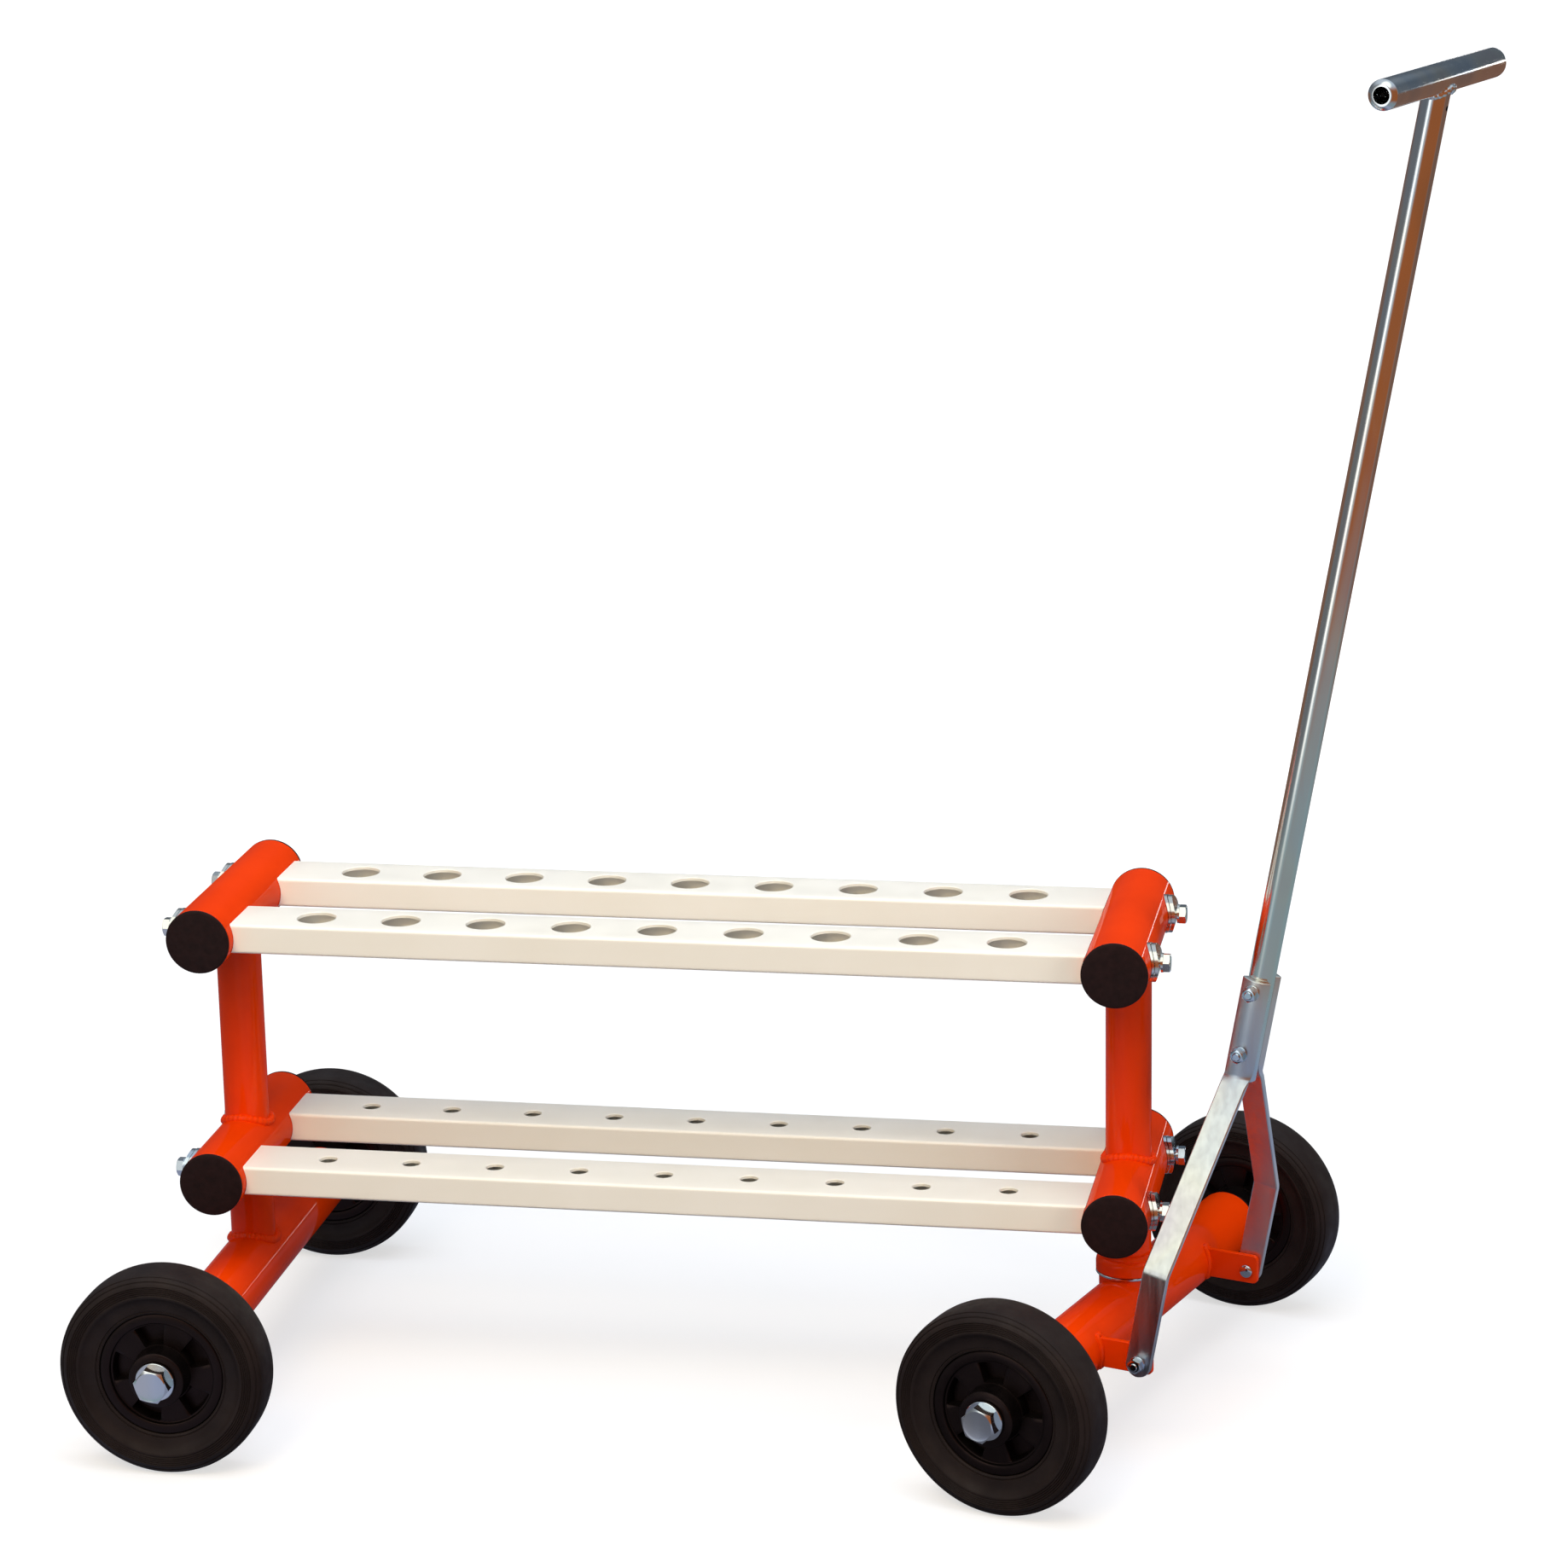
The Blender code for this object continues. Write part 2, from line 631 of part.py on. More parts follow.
def make_front_axle(steering):
    lug_outline = rounded([
        (TUBE_RADIUS - 2 * TUBE_WALL, AXLE_HEIGHT - LUG_BOTTOM, 0),
        (PIVOT_REACH + LUG_NOSE, AXLE_HEIGHT - LUG_BOTTOM, LUG_CORNER),
        (PIVOT_REACH + LUG_NOSE, AXLE_HEIGHT + LUG_TOP, LUG_CORNER),
        (TUBE_RADIUS - 2 * TUBE_WALL, AXLE_HEIGHT + LUG_TOP, 0)])
    upright = Matrix.Rotation(math.radians(90), 4, "X")
    lugs = []
    for sign in SIDES.values():
        faces = sorted((-sign * LUG_INNER_FACE, -sign * (LUG_INNER_FACE + LUG_THICKNESS)))
        lugs.append(extruded("lug", lug_outline, faces[0], faces[1], steering, upright))
    axle = tube_outer("front_axle", AXLE_TUBE_LENGTH, AXLE_HEIGHT, steering)
    top = flange_top()
    axle = added(axle, bar("flange", COLLAR_RADIUS, top - FLANGE_THICKNESS, top, steering), *lugs)
    axle = cut(axle, axle_hollow("front_axle_hollow", steering))
    sleeve_bottom = AXLE_HEIGHT - KINGPIN_SLEEVE_DROP
    axle = added(axle, bar("kingpin_sleeve", KINGPIN_SLEEVE_RADIUS, sleeve_bottom, top, steering,
                           steps=POST_STEPS))
    reach = LUG_INNER_FACE + LUG_THICKNESS + CUT_OVERRUN
    pivot_bore = DOMED_BOLT_RADIUS + HOLE_CLEARANCE
    axle = cut(
        axle,
        bar("kingpin_bore", KINGPIN_RADIUS + HOLE_CLEARANCE, sleeve_bottom - CUT_OVERRUN,
            top + CUT_OVERRUN, steering, steps=BOLT_STEPS),
        bar("pivot_bore", pivot_bore, -reach, reach, steering, Y_AXIS, (PIVOT_REACH, 0, AXLE_HEIGHT),
            SMALL_STEPS),
        wheel_bolt_bores("front_wheel_bores", steering))
    finished(axle, "front_axle", "orange_paint")
    bore = KINGPIN_RADIUS + HOLE_CLEARANCE
    washer_low = top + SEAT_GAP
    washer_high = washer_low + SLIP_WASHER_THICKNESS
    washer = turned("slip_washer", [(COLLAR_RADIUS, washer_high), (COLLAR_RADIUS, washer_low),
                                    (bore, washer_low), (bore, washer_high)], steering)
    finished(washer, "slip_washer", "bright_zinc")


def make_kingpin(chassis):
    """Bolt from below through the axle's sleeve into the thread of the front post."""
    seat = AXLE_HEIGHT - KINGPIN_SLEEVE_DROP - SEAT_GAP
    down = Matrix.Rotation(math.pi, 4, "X")
    station = joint_frame("kingpin_line", chassis, Matrix.Translation((WHEELBASE, 0, 0)) @ down)
    head = hex_prism("kingpin_bolt", KINGPIN_FLATS, -seat, -seat + KINGPIN_HEAD, station)
    tip = -(COLLAR_BOTTOM + KINGPIN_GRIP)
    shank = bar("kingpin_shank", KINGPIN_RADIUS, tip, -seat + KINGPIN_HEAD / 2, station, steps=BOLT_STEPS)
    finished(added(head, shank), "kingpin_bolt", "bright_zinc")


# Wheels; each is modelled about Z, with +Z to the outside

def wheel_offset():
    """Distance of a wheel's middle from the middle of its axle tube."""
    return AXLE_TUBE_LENGTH / 2 + HUB_STANDOFF + HUB_LENGTH / 2


def wheel_stations(chassis, steering):
    """Name, parent and hub centre of every wheel."""
    stations = []
    for end, parent in (("rear", chassis), ("front", steering)):
        for side, sign in SIDES.items():
            centre = Matrix.Translation((0, sign * wheel_offset(), AXLE_HEIGHT)) @ outward(side)
            stations.append((f"{end}_{side}", parent, centre))
    return stations


def rolled_places(piece, stations):
    """Places of a wheel's turning piece, with each wheel rolled to where it stopped."""
    return [(f"{piece}_{name}", parent, place @ Matrix.Rotation(WHEEL_PHASES[name], 4, "Z"))
            for name, parent, place in stations]


def make_tyres(stations):
    half = TYRE_WIDTH / 2
    outer = [(AXLE_HEIGHT, TYRE_CROWN_WIDTH / 2),
             (AXLE_HEIGHT - TYRE_SHOULDER_DROP, TYRE_SHOULDER_WIDTH / 2),
             (AXLE_HEIGHT - TYRE_SIDE_DROP, half),
             (TYRE_SIDE_RADIUS, half),
             (TYRE_BAND_RADIUS, TYRE_BAND_WIDTH / 2)]
    bore = RIM_RADIUS + SEAT_GAP
    upper = [(bore, RIM_WIDTH / 2)] + [(radius, offset) for radius, offset in reversed(outer)]
    lower = [(radius, -offset) for radius, offset in reversed(upper)]
    tyre = turned("tyre", upper + lower, None, steps=WHEEL_STEPS)
    placed_copies(tyre, "tyre_rubber", rolled_places("tyre", stations))


def pocket_outline():
    """Sector between hub and ring, its round sides in short chords."""
    inner = HUB_RADIUS + POCKET_MARGIN
    outer = RIM_RADIUS - RIM_RING - POCKET_MARGIN
    half = POCKET_ANGLE / 2
    swing = [-half + POCKET_ANGLE * step / ARC_STEPS for step in range(ARC_STEPS + 1)]
    return ([(outer * math.cos(angle), outer * math.sin(angle)) for angle in swing]
            + [(inner * math.cos(angle), inner * math.sin(angle)) for angle in (half, -half)])


def make_rims(stations):
    """Moulded wheel centre: seat for the tyre, ring, pads and pockets on a web, and hub."""
    half = RIM_WIDTH / 2
    pad = half - PAD_RECESS
    hub_end = HUB_LENGTH / 2
    inside = RIM_RADIUS - RIM_RING
    bore = SLEEVE_RADIUS + HOLE_CLEARANCE
    upper = [(bore, hub_end), (HUB_RADIUS, hub_end), (HUB_RADIUS, pad), (inside, pad),
             (inside, half), (RIM_RADIUS, half)]
    lower = [(radius, -offset) for radius, offset in reversed(upper)]
    rim = turned("rim", upper + lower, None, steps=WHEEL_STEPS)
    pockets = []
    for index in range(POCKET_COUNT):
        for facing in (0, math.pi):
            turn = Matrix.Rotation(math.tau * index / POCKET_COUNT, 4, "Z")
            flip = Matrix.Rotation(facing, 4, "X")
            pockets.append(extruded("pocket", pocket_outline(), WEB_THICKNESS / 2, half + CUT_OVERRUN,
                                    None, turn @ flip))
    rim = cut(rim, row("pockets", pockets))
    placed_copies(rim, "black_rim", rolled_places("rim", stations))


def make_wheel_bolts(stations):
    """Sleeve that the hub turns on, and the bolt and washer that clamp it to the axle tube."""
    plug_face = AXLE_TUBE_LENGTH / 2 - wheel_offset()
    sleeve_low = plug_face + SEAT_GAP
    sleeve_high = HUB_LENGTH / 2 + WHEEL_SIDE_PLAY
    bore = WHEEL_BOLT_RADIUS + HOLE_CLEARANCE
    sleeve = turned("sleeve", [(SLEEVE_RADIUS, sleeve_high), (SLEEVE_RADIUS, sleeve_low),
                               (bore, sleeve_low), (bore, sleeve_high)], None, steps=BOLT_STEPS)
    washer_low = sleeve_high + SEAT_GAP
    washer_high = washer_low + HUB_WASHER_THICKNESS
    tip = plug_face - WHEEL_BOLT_GRIP
    shank = turned("wheel_bolt_shank", [
        (0, washer_high), (HUB_WASHER_RADIUS, washer_high), (HUB_WASHER_RADIUS, washer_low),
        (WHEEL_BOLT_RADIUS, washer_low), (WHEEL_BOLT_RADIUS, tip), (0, tip)], None, steps=BOLT_STEPS)
    head_base = (washer_low + washer_high) / 2
    head_top = washer_high + WHEEL_BOLT_HEAD
    bolt = added(turned_hex("wheel_bolt", WHEEL_BOLT_FLATS, head_base, head_top, None), shank)
    placed_copies(sleeve, "sleeve_steel", [(f"wheel_sleeve_{name}", parent, place)
                                           for name, parent, place in stations])
    placed_copies(bolt, "bright_zinc", [(f"wheel_bolt_{name}", parent, place)
                                        for name, parent, place in stations])


# Drawbar; its frame has the pivot at the origin, +Z up the bar and +X forward

def leg_inner_face():
    return LUG_INNER_FACE + LUG_THICKNESS + SEAT_GAP


def clamp_inner_face():
    return HANDLE_RADIUS + SEAT_GAP


def leg_top():
    return CLAMP_STATIONS["upper"] + CLAMP_MARGIN


def clasp_outline():
    """Half-round section of a leg's top, hollow towards the handle tube, opening along -X."""
    turns = [CLASP_ANGLE * (step / CLASP_STEPS - 0.5) for step in range(CLASP_STEPS + 1)]
    inner = clamp_inner_face()
    outer = inner + LEG_THICKNESS
    return ([(outer * math.cos(turn), outer * math.sin(turn)) for turn in turns]
            + [(inner * math.cos(turn), inner * math.sin(turn)) for turn in reversed(turns)])


def make_legs(drawbar):
    """Flat bars bent inwards from the lugs, with their tops formed to clasp the handle tube."""
    wide = leg_inner_face()
    narrow = clamp_inner_face()
    slant = math.atan2(wide - narrow, LEG_UPPER_BEND - LEG_LOWER_BEND)
    rise = LEG_THICKNESS * math.tan(slant / 2)
    tight = LEG_BEND_RADIUS
    loose = LEG_BEND_RADIUS + LEG_THICKNESS
    shoulder = LEG_UPPER_BEND + LEG_SHOULDER
    neck_inside = narrow + LEG_NECK_SINK
    neck_outside = narrow + LEG_THICKNESS - LEG_NECK_SINK
    strip = rounded([
        (wide, -LEG_TAIL, 0), (wide + LEG_THICKNESS, -LEG_TAIL, 0),
        (wide + LEG_THICKNESS, LEG_LOWER_BEND + rise, loose),
        (neck_outside, LEG_UPPER_BEND + rise, tight),
        (neck_outside, shoulder, 0), (neck_inside, shoulder, 0),
        (neck_inside, LEG_UPPER_BEND, loose), (wide, LEG_LOWER_BEND, tight)])
    half = LEG_WIDTH / 2
    neck = LEG_NECK_WIDTH / 2
    side = rounded([(-half, -LEG_TAIL, half), (half, -LEG_TAIL, half),
                    (half, LEG_UPPER_BEND - LEG_SHOULDER, 0), (neck, shoulder, 0),
                    (-neck, shoulder, 0), (-half, LEG_UPPER_BEND - LEG_SHOULDER, 0)])
    across_x = Matrix(((0, 0, 1, 0), (1, 0, 0, 0), (0, 1, 0, 0), (0, 0, 0, 1)))
    across_y = Matrix.Rotation(math.radians(90), 4, "X")
    reach = wide + LEG_THICKNESS + CUT_OVERRUN
    for name, sign in SIDES.items():
        faced = strip if sign > 0 else [(-across, along) for across, along in strip]
        leg = extruded("leg", faced, -half - CUT_OVERRUN, half + CUT_OVERRUN, drawbar, across_x)
        leg = common(leg, extruded("leg_side", side, -reach, reach, drawbar, across_y))
        facing = Matrix.Rotation(sign * math.pi / 2, 4, "Z")
        leg = added(leg, extruded("clasp", clasp_outline(), LEG_UPPER_BEND, leg_top(), drawbar, facing))
        bores = [bar("pivot_hole", DOMED_BOLT_RADIUS + HOLE_CLEARANCE, -reach, reach, drawbar, Y_AXIS,
                     steps=SMALL_STEPS)]
        bores += clamp_bores(reach, drawbar)
        leg = cut(leg, row("leg_bores", bores))
        finished(leg, f"drawbar_leg_{name}", "bright_zinc")


def clamp_bores(reach, drawbar):
    return [bar("clamp_bore", DOMED_BOLT_RADIUS + HOLE_CLEARANCE, -reach, reach, drawbar, Y_AXIS,
                (0, 0, station), SMALL_STEPS) for station in CLAMP_STATIONS.values()]


def make_handle(drawbar):
    """Handle tube with the grip tube welded across its top."""
    half = GRIP_LENGTH / 2
    face = GRIP_RADIUS - GRIP_CHAMFER
    grip_line = Matrix.Translation((0, 0, GRIP_STATION)) @ Matrix.Rotation(math.radians(90), 4, "X")
    grip = turned("grip", [(0, half), (face, half), (GRIP_RADIUS, half - GRIP_CHAMFER),
                           (GRIP_RADIUS, GRIP_CHAMFER - half), (face, -half), (0, -half)],
                  drawbar, grip_line, HANDLE_STEPS)
    handle = added(bar("handle", HANDLE_RADIUS, HANDLE_BOTTOM, GRIP_STATION, drawbar,
                       steps=HANDLE_STEPS), grip)
    bore_top = GRIP_STATION - GRIP_RADIUS + HANDLE_WALL
    reach = half + CUT_OVERRUN
    handle = cut(
        handle,
        bar("handle_bore", HANDLE_RADIUS - HANDLE_WALL, HANDLE_BOTTOM - CUT_OVERRUN, bore_top,
            drawbar, steps=HANDLE_STEPS),
        bar("grip_bore", GRIP_BORE_RADIUS, -reach, reach, drawbar, Y_AXIS, (0, 0, GRIP_STATION),
            SMALL_STEPS),
        row("handle_clamp_bores", clamp_bores(HANDLE_RADIUS + CUT_OVERRUN, drawbar)),
        bar("handle_vent", HANDLE_VENT_RADIUS, 0, HANDLE_RADIUS + CUT_OVERRUN, drawbar, X_AXIS,
            (0, 0, HANDLE_VENT_STATION), SMALL_STEPS))
    finished(handle, "handle", "bright_zinc")


def domed_bolt_and_nut(name, head_seat, nut_seat, parent):
    """Bolt along Z, its dome below head_seat, and a nut whose washer lies on nut_seat."""
    head_base = head_seat - SEAT_GAP
    washer_low = nut_seat + SEAT_GAP
    washer_high = washer_low + NUT_WASHER_THICKNESS
    nut_top = washer_high + NUT_HEIGHT
    tip = nut_top + BOLT_TAIL
    dome = [(DOME_RADIUS * math.sin(angle),
             head_base - DOME_STEM - (DOME_HEIGHT - DOME_STEM) * math.cos(angle))
            for angle in (math.pi / 2, math.pi / 3, math.pi / 6, 0)]
    bolt = turned(f"{name}_bolt", [(0, tip), (DOMED_BOLT_RADIUS, tip), (DOMED_BOLT_RADIUS, head_base),
                                   (DOME_RADIUS, head_base)] + dome, parent, steps=SMALL_STEPS)
    washer = bar(f"{name}_washer", NUT_WASHER_RADIUS, washer_low, washer_high, parent, steps=POST_STEPS)
    nut = added(hex_prism(f"{name}_nut", NUT_FLATS, washer_high, nut_top, parent), washer)
    nut = cut(nut, bar("nut_bore", DOMED_BOLT_RADIUS + HOLE_CLEARANCE, washer_low - CUT_OVERRUN,
                       nut_top + CUT_OVERRUN, parent, steps=SMALL_STEPS))
    return bolt, nut


def make_clamp_bolts(drawbar):
    """Bolts from the far leg through the handle tube, with their nuts on the near leg."""
    seat = clamp_inner_face() + LEG_THICKNESS
    bolt, nut = domed_bolt_and_nut("clamp", -seat, seat, drawbar)
    for piece, kind in ((bolt, "bolt"), (nut, "nut")):
        places = [(f"clamp_{kind}_{name}", drawbar, Matrix.Translation((0, 0, station)) @ outward("near"))
                  for name, station in CLAMP_STATIONS.items()]
        placed_copies(piece, "bright_zinc", places)


def make_pivot_bolts(steering):
    """Bolts from inside each lug through the leg, with their nuts outside."""
    bolt, nut = domed_bolt_and_nut("pivot", LUG_INNER_FACE, leg_inner_face() + LEG_THICKNESS, steering)
    for piece, kind in ((bolt, "bolt"), (nut, "nut")):
        places = [(f"pivot_{kind}_{side}", steering,
                   Matrix.Translation((PIVOT_REACH, 0, AXLE_HEIGHT)) @ outward(side)) for side in SIDES]
        placed_copies(piece, "bright_zinc", places)


def centre_on_ground(chassis):
    """Put the origin on the ground below the middle of the parked cart's outline."""
    bpy.context.view_layer.update()
    corners = [obj.matrix_world @ vertex.co for obj in CART.objects if obj.type == "MESH"
               for vertex in obj.data.vertices]
    middle = [(min(corner[axis] for corner in corners) + max(corner[axis] for corner in corners)) / 2
              for axis in (0, 1)]
    chassis.location = (-middle[0], -middle[1], 0)
    bpy.context.view_layer.update()


clear_scene()
CART = new_collection("javelin_cart")
CUTTERS = new_collection("cutters")
MATERIALS = {name: principled(name, *values) for name, values in FINISHES.items()}

chassis_frame = joint_frame("chassis_frame", None, Matrix())
steering_frame = joint_frame(
    "steering_frame", chassis_frame,
    Matrix.Translation((WHEELBASE, 0, 0)) @ Matrix.Rotation(STEER_ANGLE, 4, "Z"))
drawbar_frame = joint_frame(
    "drawbar_frame", steering_frame,
    Matrix.Translation((PIVOT_REACH, 0, AXLE_HEIGHT)) @ Matrix.Rotation(DRAWBAR_LEAN, 4, "Y"))

make_rear_frame(chassis_frame)
make_front_frame(chassis_frame)
make_end_caps(chassis_frame)
for rail_level in ("top", "bottom"):
    for rail_side in SIDES:
        make_rail(rail_level, rail_side, chassis_frame)
make_rail_bolts(chassis_frame)
make_front_axle(steering_frame)
make_kingpin(chassis_frame)
wheels = wheel_stations(chassis_frame, steering_frame)
make_tyres(wheels)
make_rims(wheels)
make_wheel_bolts(wheels)
make_legs(drawbar_frame)
make_handle(drawbar_frame)
make_clamp_bolts(drawbar_frame)
make_pivot_bolts(steering_frame)
centre_on_ground(chassis_frame)
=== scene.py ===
"""Javelin cart: its looks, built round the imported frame.

Metres, +Z up, +X towards the drawbar, -Y the near side. Each solid is rebuilt finer in its own
place, with the small forms that only show close to: weld beads, tyre ridges, stacked saddle
washers, split washers, chamfers and edge radii. A profile lists (radius, height) points.
"""
import json
import math
import random

import bmesh
import bpy
from mathutils import Matrix, Vector


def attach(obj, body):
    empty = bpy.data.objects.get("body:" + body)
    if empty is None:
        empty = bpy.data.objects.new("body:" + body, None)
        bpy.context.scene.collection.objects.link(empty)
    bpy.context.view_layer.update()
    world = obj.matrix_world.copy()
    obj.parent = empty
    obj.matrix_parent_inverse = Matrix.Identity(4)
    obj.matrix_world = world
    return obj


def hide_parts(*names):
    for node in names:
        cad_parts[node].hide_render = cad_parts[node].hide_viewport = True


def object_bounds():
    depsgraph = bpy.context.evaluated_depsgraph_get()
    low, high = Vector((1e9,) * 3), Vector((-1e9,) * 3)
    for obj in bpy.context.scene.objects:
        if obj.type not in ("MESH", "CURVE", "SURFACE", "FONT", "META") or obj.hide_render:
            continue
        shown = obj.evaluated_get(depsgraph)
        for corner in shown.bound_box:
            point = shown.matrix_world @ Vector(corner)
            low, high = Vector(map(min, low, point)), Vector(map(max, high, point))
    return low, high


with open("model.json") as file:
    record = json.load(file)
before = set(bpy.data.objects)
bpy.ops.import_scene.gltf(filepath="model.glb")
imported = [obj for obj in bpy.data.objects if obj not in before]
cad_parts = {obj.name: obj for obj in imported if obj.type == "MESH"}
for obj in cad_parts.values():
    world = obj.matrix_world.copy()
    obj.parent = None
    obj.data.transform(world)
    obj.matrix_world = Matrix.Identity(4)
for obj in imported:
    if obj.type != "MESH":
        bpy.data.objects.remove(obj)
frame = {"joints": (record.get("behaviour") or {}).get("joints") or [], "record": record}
cad_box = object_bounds()

BODY_OF = {node: body for body, nodes in frame["record"]["behaviour"]["bodies"].items()
           for node in nodes}

# Places and sizes that several pieces share; the kingpin's place comes from the frame's joint

KINGPIN_X = next(joint["pos_m"][0] for joint in frame["joints"] if joint["name"] == "steer")
WHEELBASE = 0.700
REAR_X = KINGPIN_X - WHEELBASE
STEER_DEGREES = -18.0
LEAN_DEGREES = 10.6
AXLE_Z = 0.080
PIVOT_REACH = 0.0565
WHEEL_Y = 0.226
RAIL_Y = 0.0625
SIDES = {"near": -1, "far": 1}
ENDS = {"rear": -1, "front": 1}
LEVELS = {"bottom": 0.179, "top": 0.375}
TUBE = 0.025  # radius of the cross tubes and axles
POST = 0.0175  # radius of the posts
AXLE_LENGTH = 0.386
CROSS_LENGTH = 0.1956
SEAT = 0.0003  # gap between pieces that sit on each other
SMOOTH_DEGREES = 32.0  # edges sharper than this stay crisp
WELD_GAP = 1e-6  # points of one piece nearer than this become one
BEAD_OUT, BEAD_UP = 1.03, 1.01  # how far a junction's bead stands off its tubes
WANDER, WANDER_RATES = 0.08, (0.21, 0.09)  # how much a bead's width wanders, how fast


def shift(x=0.0, y=0.0, z=0.0):
    return Matrix.Translation((x, y, z))


def turn(degrees, axis):
    return Matrix.Rotation(math.radians(degrees), 4, axis)


CHASSIS = shift(REAR_X)
FRONT = shift(KINGPIN_X)
FRAMES = {"rear": CHASSIS, "front": FRONT}
STEERING = FRONT @ turn(STEER_DEGREES, "Z")
DRAWBAR = STEERING @ shift(PIVOT_REACH, 0, AXLE_Z) @ turn(LEAN_DEGREES, "Y")
ALONG_Y = turn(-90, "X")


# Forms

def on_circle(radius, angle):
    return radius * math.cos(angle), radius * math.sin(angle)


def band(low, high, count):
    """Quads between two rings of count points, whose first points are low and high."""
    return [[low + k, low + (k + 1) % count, high + (k + 1) % count, high + k]
            for k in range(count)]


class Shell:
    """Gathers closed surfaces into one mesh."""

    def __init__(self):
        self.verts = []
        self.faces = []

    def add(self, verts, faces, place):
        base = len(self.verts)
        self.verts += [place @ Vector(vert) for vert in verts]
        self.faces += [[base + index for index in face] for face in faces]


def lathe(shell, profile, place, steps, ring=False):
    """Turns a profile about Z. A ring's profile closes on itself."""
    verts, rows, faces = [], [], []
    for radius, height in profile:
        count = steps if radius else 1
        rows.append([len(verts) + k for k in range(count)])
        for k in range(count):
            verts.append((*on_circle(radius, math.tau * k / steps), height))
    for low, high in zip(rows, rows[1:] + (rows[:1] if ring else [])):
        for k in range(steps):
            following = (k + 1) % steps
            corners = [low[k % len(low)], low[following % len(low)],
                       high[following % len(high)], high[k % len(high)]]
            corners = list(dict.fromkeys(corners))
            if len(corners) > 2:
                faces.append(corners)
    shell.add(verts, faces, place)


def tube(shell, radius, low, high, place, steps=72, edge=0.0008):
    """Round bar along Z with broken edges."""
    lathe(shell, [(0, low), (radius - edge, low), (radius, low + edge), (radius, high - edge),
                  (radius - edge, high), (0, high)], place, steps)


def washer(shell, bore, radius, low, high, place, steps, edge=0.0003):
    """Flat ring about Z with broken outer edges."""
    lathe(shell, [(bore, low), (radius - edge, low), (radius, low + edge), (radius, high - edge),
                  (radius - edge, high), (bore, high)], place, steps, True)


def rounded(corners, steps, closed=True):
    """Polyline of (x, y, radius) corners with arcs in short chords."""
    points = []
    count = len(corners)
    for index, (x, y, radius) in enumerate(corners):
        here = Vector((x, y))
        end = not closed and index in (0, count - 1)
        if radius <= 0 or end:
            points.append((x, y))
            continue
        before = (Vector(corners[index - 1][:2]) - here).normalized()
        after = (Vector(corners[(index + 1) % count][:2]) - here).normalized()
        half = before.angle(after) / 2
        centre = here + (before + after).normalized() * radius / math.sin(half)
        first = here + before * radius / math.tan(half) - centre
        last = here + after * radius / math.tan(half) - centre
        sweep = first.angle_signed(last)
        for step in range(steps + 1):
            point = centre + Matrix.Rotation(-sweep * step / steps, 2) @ first
            points.append((point.x, point.y))
    return points


def prism(shell, outline, low, high, place, edge=0.0):
    """Extrudes an outline along Z, its two rims chamfered by edge."""
    count = len(outline)
    middle = Vector((sum(p[0] for p in outline) / count, sum(p[1] for p in outline) / count))
    inset = []
    for index, point in enumerate(outline):
        here = Vector(point)
        before = (here - Vector(outline[index - 1])).normalized()
        after = (Vector(outline[(index + 1) % count]) - here).normalized()
        normal = Vector((-(before.y + after.y), before.x + after.x))
        if normal.dot(middle - here) < 0:
            normal = -normal
        inset.append(here + normal.normalized() * edge)
    levels = [(outline, low), (outline, high)]
    if edge > 0:
        levels = [(inset, low), (outline, low + edge), (outline, high - edge), (inset, high)]
    verts = [(p[0], p[1], height) for points, height in levels for p in points]
    faces = []
    for level in range(len(levels) - 1):
        faces += band(level * count, (level + 1) * count, count)
    faces.append(list(range(count)))
    faces.append(list(range(len(verts) - count, len(verts))))
    shell.add(verts, faces, place)


def weld_bead(shell, path, radius, place, around, ripple, ripples):
    """Round bead along a closed path, rippled, its width wandering a little."""
    count = len(path)
    verts, faces = [], []
    for index in range(count):
        here = Vector(path[index])
        ahead = (Vector(path[(index + 1) % count]) - Vector(path[index - 1])).normalized()
        side = ahead.orthogonal().normalized()
        up = ahead.cross(side)
        swell = 1 + ripple * abs(math.sin(math.pi * ripples * index / count)) - ripple / 2
        quick, slow = (index * rate for rate in WANDER_RATES)
        wander = 1 + WANDER * math.sin(quick) * math.sin(slow + 1)
        for k in range(around):
            x, y = on_circle(1, math.tau * k / around)
            verts.append(here + (side * x + up * y) * radius * swell * wander)
    for index in range(count):
        n = (index + 1) % count
        start = min(range(around),
                    key=lambda k: (verts[n * around + k] - verts[index * around]).length)
        for k in range(around):
            a, b = index * around + k, index * around + (k + 1) % around
            c = n * around + (start + k + 1) % around
            d = n * around + (start + k) % around
            faces.append([a, b, c, d])
    shell.add(verts, faces, place)


def junction(shell, radius, parent_radius, height, up, place, bead=0.0033, ripples=30):
    """Weld bead where an upright of one radius meets a level tube along Y."""
    steps = 144
    path = []
    for k in range(steps):
        x, y = on_circle(radius, math.tau * k / steps)
        drop = math.sqrt(parent_radius ** 2 - x ** 2)
        path.append((x * BEAD_OUT, y * BEAD_OUT, height + up * drop * BEAD_UP))
    weld_bead(shell, path, bead, place, 12, 0.20, ripples)


def as_object(name, shell, weld=False):
    """Object of a shell's surfaces, its normals turned outwards."""
    mesh = bpy.data.meshes.new(name)
    mesh.from_pydata([tuple(v) for v in shell.verts], [], shell.faces)
    work = bmesh.new()
    work.from_mesh(mesh)
    if weld:
        bmesh.ops.remove_doubles(work, verts=work.verts, dist=WELD_GAP)
    bmesh.ops.recalc_face_normals(work, faces=work.faces)
    work.to_mesh(mesh)
    work.free()
    obj = bpy.data.objects.new(name, mesh)
    bpy.context.scene.collection.objects.link(obj)
    return obj


